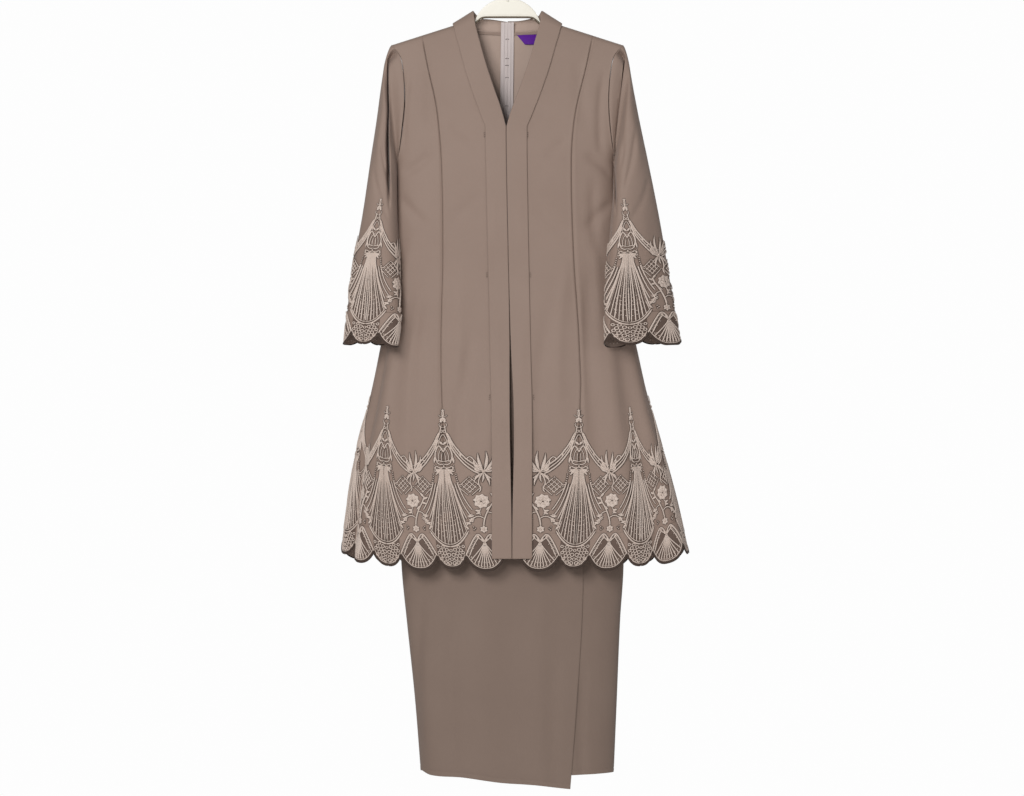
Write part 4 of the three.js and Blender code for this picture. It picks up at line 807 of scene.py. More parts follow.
SLEEVE_FLAT = (0.42, 0.60)
for side in (-1, 1):
    name = f"sleeve_{SIDE_NAMES[side]}"
    rows = np.concatenate([[0, 0.004, 0.01, 0.018], np.linspace(0.028, 1, 98)])
    evenly = np.linspace(0, 1, 601)
    folds_at = np.interp(rows * 0.9, FOLD_ROWS, fold_rounds[side])
    keys = []
    for fold in folds_at:  # columns stand closer together beside the deep fold
        dense = 1 + 7 * np.exp(-((((evenly + 0.5) % 1 - fold) * SLEEVE_GIRTH / 6) ** 2))
        shares = np.concatenate([[0], np.cumsum((dense[1:] + dense[:-1]) / 2)])
        keys.append((np.interp(np.linspace(0, 1, 141), shares / shares[-1], evenly) + 0.5) % 1)
    keys = np.array(keys)
    keys[:, -1] = keys[:, 0]
    down = rows[:, None] * np.array([down_at(side, row, 60.0) for row in keys])
    moved = sleeve_creases(side, keys, down)
    moved -= 0.8 * np.exp(-((down * SLEEVE_LONG / 2.2) ** 2))
    points = sleeve_point(side, down, keys, moved)
    points[..., 1] += armhole_fold(side, keys, down)
    arm = grid_piece(name, points, (side, -1, 0), [name], kebaya_crepe, CLOTH, "crepe", (0.30, 0.56))
    as_sheet(name, arm, SLEEVE_FLAT, [f"front_side_{SIDE_NAMES[side]}_cloth"], sheet_area(points))


# ------------------------------------------------------------------ the wrap skirt
# A long straight skirt that wraps to the right over an under layer. It is cut from a slightly heavier crepe,
# hangs from a narrow waistband, and has a narrow turned hem that puckers a little.
skirt = curve([
    (517, 180, 180, 30, 26), (545, 184, 184, 32, 28), (620, 196, 196, 36, 32), (720, 204, 206, 40, 37),
    (884, 204, 209, 45, 43), (1098, 193, 206, 50, 48), (1190, 184, 200, 51, 49), (1334, 169, 194, 52, 50),
    (1500, 156, 187, 53, 51),
])
skirt_hem = curve([
    (-160, 1457, 1460), (-139, 1466, 1462), (-83, 1469, 1463), (-16, 1478, 1464), (47, 1482.5, 1465),
    (115, 1490, 1465), (190, 1490, 1462),
])
wrap_edge = curve([
    (545, 128), (800, 134), (1095, 133), (1190, 130.5), (1267, 126), (1345, 120.6),
    (1422, 115), (1490, 109.5),
])
WAIST_TOP, WAIST_BOTTOM, WRAP_UNDER, WRAP_LIFT = 517, 545, -75, CLOTH + LIFT


def skirt_plain(side, turn, drop):
    half = np.where(side < 0, skirt(drop, 1), skirt(drop, 2))
    across = half * np.abs(np.sin(turn)) ** SQUARE
    facing = np.cos(turn)
    out = np.where(facing > 0, skirt(drop, 3), skirt(drop, 4)) * np.abs(facing) ** SQUARE
    return np.stack([side * across, -np.sign(facing) * out, -drop], -1)


def skirt_point(turn, drop, lift):
    """turn runs all the way round: below 0 at the left front, above half a turn at the left back."""
    side = np.where((turn < 0) | (turn > math.pi), -1, 1)
    around = np.where(turn > math.pi, 2 * math.pi - turn, np.abs(turn))
    inside = np.clip(around, 0.012, math.pi - 0.012)
    along = skirt_plain(side, inside + 0.01, drop) - skirt_plain(side, inside - 0.01, drop)
    down = skirt_plain(side, inside, drop + 2) - skirt_plain(side, inside, drop - 2)
    out = unit(np.cross(along, down) * -side[..., None])
    return skirt_plain(side, around, drop) + out * np.asarray(lift)[..., None]


def skirt_turn(x, drop):
    half = np.where(x < 0, skirt(drop, 1), skirt(drop, 2))
    return np.sign(x) * np.arcsin(np.clip(np.abs(x) / half, 0, 1) ** (1 / SQUARE))


# Folds of the skirt by x and drop on each panel: from, to, half width and depth.
SKIRT_FOLDS = {
    "skirt_wrap": [
        (-120, 1060, -128, 1520, 20, 3.0), (-84, 1090, -86, 1520, 13, -3.6), (-30, 1000, -22, 1530, 22, 2.4),
        (20, 1120, 34, 1530, 13, -2.6), (70, 1050, 72, 1540, 15, 2.6), (-150, 1100, -146, 1500, 10, -3.0),
        (96, 1180, 88, 1540, 9, -1.8),
    ],
    "skirt_under": [
        (140, 1250, 138, 1520, 7, -3.4), (168, 1080, 164, 1500, 10, 2.6), (60, 900, 50, 1500, 24, -2.0),
    ],
    "skirt_back": [
        (-110, 760, -104, 1510, 24, -4.0), (-40, 840, -36, 1510, 18, 3.4), (16, 700, 14, 1510, 14, -4.2),
        (70, 860, 64, 1510, 20, 3.6), (124, 780, 118, 1510, 22, -3.4),
    ],
}
SKIRT_WIDE, SKIRT_LONG = 380, 942.4  # the panel that the spacing of the skirt's grids is worked out for
halfway = SEAM / 2 / 30  # half a seam's gap, as a turn at the narrow sides


def flat_lift(x):
    return 0 * x


def wrap_lift(x):
    return WRAP_LIFT * ease((x - WRAP_UNDER + 60) / 45)


SKIRT_PANELS = {
    "skirt_wrap": (
        lambda drop: np.full_like(drop, -math.pi / 2 + halfway),
        lambda drop: skirt_turn(wrap_edge(drop), drop), 1, wrap_lift, (0.42, 0.97),
    ),
    "skirt_under": (
        lambda drop: skirt_turn(np.full_like(drop, float(WRAP_UNDER)), drop),
        lambda drop: np.full_like(drop, math.pi / 2 - halfway), 2, flat_lift, (0.38, 0.95),
    ),
    "skirt_back": (
        lambda drop: np.full_like(drop, math.pi / 2 + halfway),
        lambda drop: np.full_like(drop, 1.5 * math.pi - halfway), 2, flat_lift, (0.46, 0.95),
    ),
}
for name, (left_edge, right_edge, hem_column, lift_at, flat_size) in SKIRT_PANELS.items():
    close_hem = np.array([929, 932, 933.4, 934.4, 935.4, 936.8, 938.5, 940.5, 941.8, SKIRT_LONG]) / SKIRT_LONG
    down = np.concatenate([np.linspace(0, 0.982, 120), close_hem])
    a, t = np.meshgrid(shares_with_seams(SKIRT_WIDE, 10), down)
    drop = lerp(WAIST_BOTTOM + SEAM, 1470, t)
    for _ in range(8):
        turn = lerp(left_edge(drop), right_edge(drop), a)
        x = skirt_point(turn, drop, np.zeros_like(drop))[..., 0]
        drop = lerp(WAIST_BOTTOM + SEAM, skirt_hem(x, hem_column), t)
    x = skirt_point(turn, drop, np.zeros_like(drop))[..., 0]
    from_seam = np.minimum(a, 1 - a) * SKIRT_WIDE
    moved = creased(x, drop, SKIRT_FOLDS[name]) * ease(from_seam / 30)
    sunk, near = (0.5, 1.2) if name == "skirt_wrap" else (0.7, 1.4)
    moved -= sunk * np.exp(-((from_seam / near) ** 2))
    above_hem = (1 - t) * SKIRT_LONG
    pucker = np.sin(x / 5.2 + 1.3 * np.sin(x / 17)) * (0.25 + 0.55 * np.exp(-(((x + 30) / 55) ** 2)))
    moved += pucker * np.exp(-((above_hem / 7) ** 2)) - 0.4 * np.exp(-(((above_hem - 8) / 1.3) ** 2))
    if name == "skirt_under":
        moved = np.minimum(moved, 0.3)
    points = skirt_point(turn, drop, lift_at(x) + moved)
    outwards = (0, 1 if name == "skirt_back" else -1, 0)
    # The skirt panels take the darker crepe, which is painted shade.
    panel = grid_piece(name, points, outwards, [name], painted_shade_skirt_crepe, CLOTH, "crepe", flat_size)
    area = min(sheet_area(points), flat_size[0] * flat_size[1])
    as_sheet(name, panel, flat_size, ["skirt_waistband_cloth"], area)

WAIST_HIGH, WAIST_FLAT = WAIST_BOTTOM - WAIST_TOP, (0.80, 0.075)
down = np.array([0, 0.5, 1.2, 2.4, 5, 10, 14, 18, 23, 25.6, 26.8, 27.5, WAIST_HIGH]) / WAIST_HIGH
a, t = np.meshgrid(np.linspace(0, 1, 161), down)
turn, drop = lerp(-math.pi + 0.006, math.pi - 0.006, a), lerp(WAIST_TOP, WAIST_BOTTOM, t)
points = skirt_point(turn, drop, WRAP_LIFT + rolled_edge(t, WAIST_HIGH))
waistband = grid_piece(
    "skirt_waistband", points, (0, -1, 0), ["skirt_waistband"], painted_shade_skirt_crepe, WRAP_LIFT + CLOTH - 0.3, "crepe",
    (0.80, 0.03),
)
as_sheet("skirt_waistband", waistband, WAIST_FLAT, ["hanger"], WAIST_FLAT[0] * WAIST_FLAT[1] / 2)


# ------------------------------------------------------------------ the lace's thread and ground
# The lace is embroidered in a lustrous thread two shades lighter than the cloth: padded satin stitch over
# thick cords, so each line stands up round between narrow dark edges that are painted shade. Its ground is a
# dark sheet, painted shade for the shadowed net.
def thread_finish():
    made, maker, place, shader = finish_of(
        "lace_thread", (206, 187, 174), Roughness=0.46, Sheen_Weight=0.25, Sheen_Roughness=0.35
    )
    along = maker.add("ShaderNodeTexCoord", out=2)
    twist = maker.wave(along, 190, "DIAGONAL")
    fuzz = maker.noise(place, 900, 2)
    tone = twist * 0.35 + fuzz * 0.4 + maker.noise(place, 60, 2) * 0.25
    feed(
        shader,
        Base_Color=tone.blend((184, 163, 150), (228, 212, 200)),
        Roughness=0.4 + fuzz * 0.16,
        Normal=bumped(maker, twist + fuzz * 0.4, 0.0003, 0.6),
    )
    return made


lace_thread = thread_finish()
# Painted shade: a dark sheet behind the lace's lines stands for the shadowed net and its openings.
painted_shade_ground = crepe_finish("painted_shade_ground", (88, 71, 62), (112, 93, 83))
# Painted shade: a dark finish for the flat edges beside the lace's lines and the discs under its beads; the
# tack stitches also take it as dark thread.
painted_shade_and_dark_thread = crepe_finish("painted_shade_and_dark_thread", (58, 44, 37), (80, 64, 55))

# Widths and heights of the lace's cords, in mm.
RIM, THICK, LINE, FINE = (2.7, 2.2), (2.5, 2.1), (1.9, 1.8), (1.4, 1.4)
# How far the painted shade beside each lace line reaches out, in mm.
PAINTED_SHADE_WIDTH = 1.0
CORD_SECTIONS = 5  # across a cord, of which the outermost on each side are painted shade


def grid_verts(bm, across, down):
    return bmesh.ops.create_grid(bm, x_segments=across, y_segments=down, size=0.5, calc_uvs=True)["verts"]


def faces_of(verts):
    return {face for vert in verts for face in vert.link_faces}


def around_place(x, y, reach, angle):
    return x + reach * math.cos(angle), y + reach * math.sin(angle)


def cord(bm, places, size, step=3.0, closed=False):
    """A padded line through places: x, height and how far each stands off the ground, if it does."""
    wide, high = size
    places = [(*p, 0) if len(p) == 2 else p for p in places]
    line = curve([(i, *p) for i, p in enumerate(places)])
    rough = np.linspace(0, len(places) - 1, 12 * len(places))
    length = float(np.hypot(np.diff(line(rough, 1)), np.diff(line(rough, 2))).sum())
    count, sections = max(3, round(length / step)), CORD_SECTIONS
    new = grid_verts(bm, count, sections)
    at = np.array([v.co[:2] for v in new]) + 0.5
    t = at[:, 0] * (len(places) - 1)
    dx, dy = line(t + 0.05, 1) - line(t - 0.05, 1), line(t + 0.05, 2) - line(t - 0.05, 2)
    size_of = np.maximum(np.hypot(dx, dy), 1e-9)
    from_end = np.minimum(at[:, 0], 1 - at[:, 0]) * length
    end = 1.0 if closed else np.clip(from_end / (0.5 * wide), 0.25, 1) ** 0.5
    column = np.round(at[:, 1] * sections).astype(int)
    angle = np.clip((column - 1) / (sections - 2), 0, 1) * math.pi
    # The outermost sections lie flat beside the cord in the dark finish: painted shade.
    edge = PAINTED_SHADE_WIDTH * ((column == sections).astype(float) - (column == 0))
    side_way, rise = -np.cos(angle) * wide / 2 * end + edge, np.sin(angle) * high * end + 0.12
    x, y = line(t, 1) - dy / size_of * side_way, line(t, 2) + dx / size_of * side_way
    for vert, place in zip(new, np.stack([x, y, line(t, 3) + rise], -1)):
        vert.co = place
    mark_thread(bm, new, length, sections)


def mark_thread(bm, new, length, sections=0):
    """Gives new faces the thread's finish, and the outermost of a line's sections the dark finish of painted
    shade.
    """
    uv = bm.loops.layers.uv.verify()
    for face in faces_of(new):
        across = [loop[uv].uv.y for loop in face.loops]
        is_painted_shade = sections and (max(across) < 1.5 / sections or min(across) > 1 - 1.5 / sections)
        face.material_index = 2 if is_painted_shade else 1
        face.smooth = True
        for loop in face.loops:
            loop[uv].uv = (loop[uv].uv.x * length / 1000, loop[uv].uv.y * 0.003)


def leaf(bm, base, tip, wide, high=1.7, bend=0.0):
    """A satin-stitched leaf or petal, raised along its middle, with a bend to one side."""
    base, tip = np.array(base, float), np.array(tip, float)
    way = tip - base
    length = float(np.hypot(*way))
    way, off = way / length, np.array([-way[1], way[0]]) / length
    count = max(4, round(length / 2.6))
    new = grid_verts(bm, count, 6)
    for vert in new:
        t, column = vert.co.x + 0.5, round((vert.co.y + 0.5) * 6) - 3
        half = wide / 2 * math.sin(math.pi * min(max(t, 0.02), 0.985) ** 0.8) ** 0.8
        s = max(-1, min(1, column / 2))
        # The outermost columns lie flat beside the leaf in the dark finish: painted shade.
        edge = PAINTED_SHADE_WIDTH * ((column == 3) - (column == -3))
        x, y = base + way * t * length + off * (s * half + edge + bend * math.sin(math.pi * t))
        raised = (1 - abs(s) ** 1.6) * (0.55 + 0.45 * half / (wide / 2)) - 0.25 * (column == 0)
        vert.co = (x, y, high * raised + 0.14)
    mark_thread(bm, new, length, 6)


def bead(bm, x, y, radius):
    new = bmesh.ops.create_icosphere(bm, subdivisions=1, radius=radius)["verts"]
    for vert in new:
        vert.co = (vert.co.x + x, vert.co.y + y, vert.co.z * 0.8 + 0.3 * radius)
    mark_thread(bm, new, 2 * radius)
    # A flat dark disc round the bead's foot is painted shadow.
    foot = bmesh.ops.create_circle(bm, cap_ends=True, segments=8, radius=radius + PAINTED_SHADE_WIDTH * 0.8)["verts"]
    for vert in foot:
        vert.co = (vert.co.x + x, vert.co.y + y, 0.1)
    for face in faces_of(foot):
        face.material_index = 2


def ring(bm, x, y, radius, size=FINE):
    cord(bm, [around_place(x, y, radius, a) for a in np.linspace(0, 2 * math.pi, 9)], size, 1.7, True)


def beads(bm, start, end, radius=1.25, gap=3.3, bend=0.0):
    start, end = np.array(start, float), np.array(end, float)
    way = end - start
    length = np.hypot(*way)
    off = np.array([-way[1], way[0]]) / length
    for t in np.linspace(0, 1, max(2, round(length / gap) + 1)):
        bead(bm, *(start + way * t + off * bend * math.sin(math.pi * t)), radius)


def rose(bm, x, y, radius):
    """A full-blown rose: two rows of petals round a curled heart."""
    for count, inner, outer, wide, shift in ((8, 0.42, 1.0, 0.7, 0.2), (5, 0.14, 0.6, 0.6, 0.7)):
        for k in range(count):
            a = 2 * math.pi * (k + shift) / count
            base, tip = [around_place(x, y, reach * radius, a) for reach in (inner, outer)]
            leaf(bm, base, tip, wide * radius, 2.3 if inner < 0.3 else 1.7)
    coils = zip(np.linspace(0.06, 0.4, 12), np.linspace(0, 3.6 * math.pi, 12))
    curl = [(*around_place(x, y, reach * radius, a), 0.9) for reach, a in coils]
    cord(bm, curl, FINE, 1.6)


def ladder(bm, left, right, gap, size=(0.8, 0.6)):
    """Short bars between two lines."""
    left, right = np.array(left, float), np.array(right, float)
    count = max(2, round(np.hypot(*(left[-1] - left[0])) / gap))
    ends = [(curve([(i, *p) for i, p in enumerate(line)]), len(line) - 1) for line in (left, right)]
    for t in np.linspace(0.06, 0.94, count):
        cord(bm, [(float(end(t * last, 1)), float(end(t * last, 2))) for end, last in ends], size, 3)


def scallop_height(share, low, dip):
    return low + dip * np.abs(2 * share - 1) ** 2.6


# ------------------------------------------------------------------ the fan, the rose and the spray
# Each large scallop holds an open ribbed fan under a bud; a rose stands over it on a curved stem, and a spray
# of long leaves springs from where the swags meet. x runs 33.5 mm each way from the middle of the scallop.
def ground_sheet(bm, left, right, bottom, top, lift, finish):
    """Part of the ground, between two heights at each x: finish 0 is the dark sheet that is painted shade for
    the net, 3 the crepe under it.
    """
    new = grid_verts(bm, 18, 6)
    for vert in new:
        x = lerp(left, right, vert.co.x + 0.5)
        vert.co = (x, lerp(bottom(x), top(x), vert.co.y + 0.5), lift)
    for face in faces_of(new):
        face.material_index = finish


def fan_motif():
    bm = bmesh.new()
    half = FAN / 2
    apex = (0.0, 50.0)
    rim_xs = np.linspace(-26, 26, 10)

    def rib_end(x, above=5.0):
        return x, float(scallop_height((x + half) / FAN, 0, 25)) + above

    def rim(x):
        return float(scallop_height((x + half) / FAN, 0, 25)) + 1

    outline = curve([(0, 53), (4.5, 60), (9.5, 64.5), (15, 61), (25, 44), (half, 27.5)])
    ground_sheet(bm, -half, half, rim, lambda x: 66, 0, 3)
    # The dark sheet inside the fan's outline is painted shade.
    ground_sheet(bm, -half, half, rim, lambda x: float(outline(abs(x))), 0.1, 0)
    edge = [(x, float(scallop_height((x + half) / FAN, 0, 25))) for x in np.linspace(-half, half, 15)]
    cord(bm, [(x, y + 1.2) for x, y in edge], RIM)
    cord(bm, [(x * 0.95, y + 4.6) for x, y in edge], FINE)
    for x in rim_xs:
        end = rib_end(x)
        cord(bm, [(apex[0] + x * 0.05, apex[1] - 2), (x * 0.42, (apex[1] + end[1]) * 0.52), end], LINE)
    for a, b in zip(rim_xs[:-1], rim_xs[1:]):
        middle = rib_end((a + b) / 2, 7.5)
        bead(bm, *middle, 1.2)
        x, y = rib_end((a + b) / 2, 16)
        cord(bm, [(x - 1.2, y), (x, y - 1.4), (x + 1.2, y)], FINE, 1.6)
    for way in (-1, 1):
        outer = [(way * x, y) for x, y in ((0, 52), (4.5, 60), (9.5, 64.5), (15, 61), (25, 44), (half, 26.5))]
        inside = [(way * x, y) for x, y in ((1, 51), (6.5, 56), (10.5, 57.5), (19, 44), (28, 25))]
        cord(bm, outer, THICK)
        cord(bm, inside, LINE)
        ladder(bm, [*outer[2:5], (way * 31, 31)], [*inside[1:4], (way * 27, 27)], 2.4)
        for x, y in ((14, 51), (19.5, 43), (24.5, 34.5)):
            bead(bm, way * x, y - 3.5, 1.0)
    ring(bm, 0, 47, 2.6, LINE)
    for x, y, a in ((-2.2, 55, 2.2), (2.2, 55, 0.94)):  # the sheath at the apex
        leaf(bm, (x * 0.3, y - 5), (x + 5 * math.cos(a), y + 6 * math.sin(a)), 3)
    for k in range(6):  # the bud over the fan
        base, tip = [around_place(0, 74, reach, math.pi * (0.5 + k / 3)) for reach in (1.6, 6.6)]
        leaf(bm, base, tip, 4.6, 1.8)
    bead(bm, 0, 74, 2.2)
    cord(bm, [(0, 80), (-1.5, 90), (-5, 101), (-10, 112), (-16, 122), (-20, 132)], THICK)
    cord(bm, [(-2, 93), (5, 97), (12, 96), (17, 92)], LINE)
    cord(bm, [(-7, 105), (-14, 103), (-19, 96), (-17, 91), (-13, 93)], LINE)
    for x, y in ((19, 90), (-21, 88)):
        for k in range(5):
            base, tip = [around_place(x, y, reach, 2 * math.pi * (k + 0.25) / 5) for reach in (1, 4.4)]
            leaf(bm, base, tip, 3.2)
        bead(bm, x, y, 1.5)
    rose(bm, 2, 124, 13)
    cord(bm, [(3, 111), (6, 105), (4, 99)], LINE)
    for base, tip, wide in (
        ((4, 106), (13, 108), 4), ((4, 104), (12, 101), 3.6), ((-12, 115), (-4, 108), 3.6),
        ((-15, 121), (-24, 119), 4), ((-18, 127), (-27, 131), 4), ((-19, 131), (-12, 139), 4),
    ):
        leaf(bm, base, tip, wide)
    # the spray: leaves up and down from the knot of the swags, with curled stems between them
    knot = (-3.0, 176.0)
    for angle, long, wide, bend in (
        (58, 28, 4.2, -4), (77, 35, 4.6, -2), (96, 38, 4.6, 3), (116, 32, 4.4, 4), (137, 24, 4.0, 3),
        (32, 18, 3.8, -3), (160, 18, 3.6, 2), (-50, 24, 4.0, 2), (-82, 19, 3.6, -1), (-110, 26, 4.0, -2),
        (-140, 19, 3.6, 2),
    ):
        a = math.radians(angle)
        base, vein, tip = [around_place(*knot, reach, a) for reach in (2, 3, long)]
        halfway_out = (knot[0] + tip[0]) / 2, (knot[1] + tip[1]) / 2
        middle = halfway_out[0] - bend * math.sin(a), halfway_out[1] + bend * math.cos(a)
        leaf(bm, base, tip, wide, 1.8, bend)
        cord(bm, [(*vein, 0.7), (*middle, 0.9), (*tip, 0.2)], (0.7, 0.6))
    cord(bm, [knot, (4, 186), (10, 196), (16, 203), (21, 200), (19, 195)], LINE)
    cord(bm, [knot, (-12, 184), (-17, 194), (-22, 197), (-24, 192)], LINE)
    cord(bm, [knot, (3, 166), (5, 156), (2, 146), (5, 140)], LINE)
    bead(bm, *knot, 2.6)
    beads(bm, (8, 170), (16, 160), 1.2, 3.4)
    beads(bm, (-10, 168), (-20, 158), 1.2, 3.4)
    return mesh_of("fan_motif", bm)


# ------------------------------------------------------------------ half of the small scallop and its spire
# Each small scallop holds corded cells under a base arc. A tall closed fan of long ribs stands on the arc,
# tied by a bow, under a lantern and a tapering spire; triple swags hang from the spire over some trellis.
# This is the left half, x from -25 (or further, over the fan) to the middle at 0; the right is its mirror.
def small_half_motif():
    bm = bmesh.new()
    half = SMALL / 2

    def edge_height(x):
        return float(scallop_height((x + half) / SMALL, 4, 21))

    def arc(x):
        return 43 + 24 * (abs(x) / 31) ** 2.2

    ground_xs = np.linspace(-33, 0, 12)
    cells = [  # place and radius
        (-4.2, 13.6, 2.7), (-11.6, 14.8, 2.7), (-18.2, 21.5, 2.3), (0, 20.6, 2.6), (-7.8, 21.6, 2.8),
        (-14.4, 26.8, 2.6), (-21, 32.5, 2.2), (-3.9, 28.4, 2.7), (-10.9, 31.2, 2.7), (-17.2, 36.6, 2.5),
        (0, 36, 2.3), (-7.2, 37.6, 2.5), (-13.6, 42.6, 2.2), (-22, 43.5, 2.0),
    ]
    tall_fan = curve([(0, 168), (8, 168), (13, 148), (19, 124), (25, 100), (31, 76)])
    ground_sheet(bm, -half, 0, lambda x: edge_height(x) + 1, lambda x: 68, 0, 3)
    # The dark sheets in the scallop and under the tall fan are painted shade.
    ground_sheet(bm, -half, 0, lambda x: edge_height(x) + 1, arc, 0.1, 0)
    ground_sheet(bm, -30, 0, arc, lambda x: float(tall_fan(abs(x))), 0.08, 0)
    edge = [(x, edge_height(x)) for x in np.linspace(-half, 0, 9)]
    cord(bm, [(x, y + 1.2, 0.1) for x, y in edge], RIM)
    cord(bm, [(x * 0.95, y + 4.6, 0.1) for x, y in edge], FINE)
    cord(bm, [(x, arc(x), 0) for x in ground_xs], THICK)
    cord(bm, [(x * 0.97, arc(x) + 4.2, 0) for x in ground_xs], FINE)
    for x, y, r in cells:  # corded all round, or half round on the middle line
        if x:
            ring(bm, x, y, r + 0.25, (1.5, 1.3))
        else:
            half_round = [(0, y + r), (-r * 0.7, y + r * 0.7), (-r, y), (-r * 0.7, y - r * 0.7), (0, y - r)]
            cord(bm, half_round, (1.5, 1.3), 1.7)
    for (x, y, _), (x2, y2, _) in zip(cells[:-1], cells[1:]):
        if math.hypot(x2 - x, y2 - y) < 12:
            bead(bm, (x + x2) / 2, (y + y2) / 2 + 0.4, 0.9)
    for x in (-5, -12, -18):
        bead(bm, x, edge_height(x) + 8.2, 1.2)
    # the tall fan
    for k in range(6):
        spread = (k + 0.4) / 5.4
        foot = -30 * spread ** 0.92
        rib = [(-0.8 - 6.5 * spread, 181), (-1.4 - 10 * spread, 152), (-2 - 16.5 * spread, 118),
               (-2 - 23 * spread, 88), (foot, arc(foot) + 5)]
        if k % 3 == 2:
            beads(bm, rib[1], rib[2], 0.95, 2.3)
            beads(bm, rib[2], rib[3], 0.95, 2.3)
            cord(bm, [rib[0], rib[1]], FINE)
            cord(bm, rib[3:], FINE)
        else:
            cord(bm, rib, LINE if k % 2 else FINE)
    for x0, y0, x1, y1 in (
        (-3.5, 96, -8.5, 97), (-4, 104, -8, 105), (-9.5, 90, -14, 92), (-10, 99, -13.4, 101),
        (-15, 84, -19, 87), (-2.2, 72, -7.4, 73), (-2, 81, -7.5, 82), (-9, 70, -14, 73),
        (-16, 72, -21, 76), (-20, 80, -23, 84), (-3.5, 124, -6, 125), (-7.6, 118, -10.4, 120),
    ):
        cord(bm, [(x0, y0), ((x0 + x1) / 2, y0 - 0.8), (x1, y1)], (0.9, 0.7))
    for x, y in (
        (-4.8, 60), (-11, 62), (-17.4, 66), (-23, 72), (-5, 88), (-11.5, 82), (-2.8, 112), (-17, 95),
    ):
        bead(bm, x, y, 1.15)
    cord(bm, [(-8, 168), (-13, 148), (-19, 124), (-25, 100), (-30, 80)], THICK)
    cord(bm, [(0, 182), (0, 150), (0, 110), (0, 50)], LINE)
    # the bow under the lantern
    cord(bm, [(0, 190), (-6, 189), (-12, 193), (-9, 196), (0, 194)], LINE)
    cord(bm, [(0, 184), (-7, 183), (-13, 186), (-15, 181), (-9, 180), (-3, 182)], LINE)
    for tip in ((-17, 176), (-15, 170)):
        leaf(bm, (-6, 181), tip, 4)
    bead(bm, 0, 186, 2.0)
    # the lantern
    cord(bm, [(-11, 193), (-14.5, 203), (-13, 213), (-8.5, 222), (-4, 219), (0, 211)], THICK)
    cord(bm, [(-9, 194), (-8.5, 204), (-6, 213), (0, 219)], FINE)
    cord(bm, [(-3, 195), (-3.2, 203), (-2, 210)], FINE)
    leaf(bm, (-15, 203), (-17, 191), 3.4)
    beads(bm, (-15.6, 187), (-17, 178), 1.2, 3.2)
    # the spire
    cord(bm, [(-13, 214), (-12, 224), (-9.5, 234), (-6.2, 243), (-4.4, 251), (-3, 259)], LINE)
    cord(bm, [(-8, 223), (-6.4, 232), (-3, 240), (0, 243)], FINE)
    leaf(bm, (-6, 230), (0, 224), 4)
    leaf(bm, (-10, 233), (-16, 226), 4)
    leaf(bm, (-8, 240), (-13, 237), 3.2)
    ring(bm, -2.7, 248.5, 2.1, FINE)
    cord(bm, [(0, 255), (-4.5, 256), (-7, 260), (-5, 263)], FINE)
    for angle in (100, 130, 162, 200):
        c, s = math.cos(math.radians(angle)), math.sin(math.radians(angle))
        leaf(bm, (1.2 * c, 266 + s), (6.0 * c, 268 + 6.0 * s), 3.8, 1.4)
    cord(bm, [(0, 276), (-5, 275), (-7.5, 278)], FINE)
    cord(bm, [(0, 273), (-1.4, 280), (0, 288)], LINE)
    cord(bm, [(0, 285.5), (-3.6, 286.5)], FINE)
    bead(bm, 0, 268, 2.4)
    # triple swags out to the middle of the next fan
    reach = -(SMALL + FAN) / 2
    for k, size in ((0, THICK), (1, LINE), (2, THICK)):
        swag = [(-7 - 0.5 * k, 246), (-18, 224), (-33, 203), (-47, 190.5), (reach + 3, 186)]
        cord(bm, [(x, y - 6.4 * k) for x, y in swag], size)
    for t, y in ((-12, 233), (-24, 213)):
        cord(bm, [(t, y + 4), (t - 3, y - 4), (t - 4, y - 11)], LINE)
    # the trellis patch
    for k in range(5):
        shift = (k - 2) * 4.4
        cord(bm, [(-40 + shift - 7, 150 + shift + 7), (-40 + shift + 7, 150 + shift - 7)], FINE)
        cord(bm, [(-40 + shift + 8, 150 - shift + 7), (-40 + shift - 6, 150 - shift - 7)], FINE)
        bead(bm, -40 + shift - 8, 150 + shift + 8, 1.3)
        bead(bm, -40 + shift + 9, 150 - shift + 8, 1.3)
    # long stems, leaves and bead strings beside the tall fan
    cord(bm, [(-20, 158), (-27, 136), (-35, 119), (-42, 108)], LINE)
    cord(bm, [(-16, 156), (-22, 134), (-30, 113), (-38, 99)], LINE)
    cord(bm, [(-13, 152), (-19, 128), (-26, 107), (-32, 92)], LINE)
    beads(bm, (-19, 172), (-26, 150), 1.4, 3.9, 2)
    leaf(bm, (-34, 96), (-45, 99), 4.4)
    leaf(bm, (-30, 86), (-39, 83), 4.0)
    leaf(bm, (-29, 80), (-35, 73), 3.6)
    cord(bm, [(-28, 78), (-34, 84), (-40, 92), (-46, 96)], LINE)
    for x, y in ((-42, 78), (-45, 75.5), (-42.6, 73)):
        bead(bm, x, y, 1.4)
    return mesh_of("small_half_motif", bm)


# ------------------------------------------------------------------ the hem and cuff lace
# Twelve fans and eleven spires go round the hem, and two of each round a cuff. The lace is sewn flat over the
# lower edge of the cloth, and its scallops hang below it on a ground of their own.
fan_mesh, small_half_mesh = fan_motif(), small_half_motif()


def laid_lace(bm, mesh, middle, mirrored=False):
    """Adds a motif with its middle line at a place along the lace."""
    known, faces_known = len(bm.verts), len(bm.faces)
    bm.from_mesh(mesh)
    bm.verts.ensure_lookup_table()
    bm.faces.ensure_lookup_table()
    for vert in bm.verts[known:]:
        vert.co.x = middle - vert.co.x if mirrored else middle + vert.co.x
    if mirrored:
        bmesh.ops.reverse_faces(bm, faces=bm.faces[faces_known:])


def lace_piece(node, side, bm, place, sewn_on):
    """Bends the drawn lace onto what it is sewn to."""
    drawn = np.array([vert.co[:] for vert in bm.verts])
    for vert, point in zip(bm.verts, place(drawn) / 1000):
        vert.co = point
    if side < 0:
        bmesh.ops.reverse_faces(bm, faces=bm.faces)
    made = made_of(f"{node}_cloth", bm, painted_shade_ground, lace_thread, painted_shade_and_dark_thread, kebaya_crepe)
    fitted(made, "lace", node)
    cloths[sewn_on]["with_pieces"].append(made)


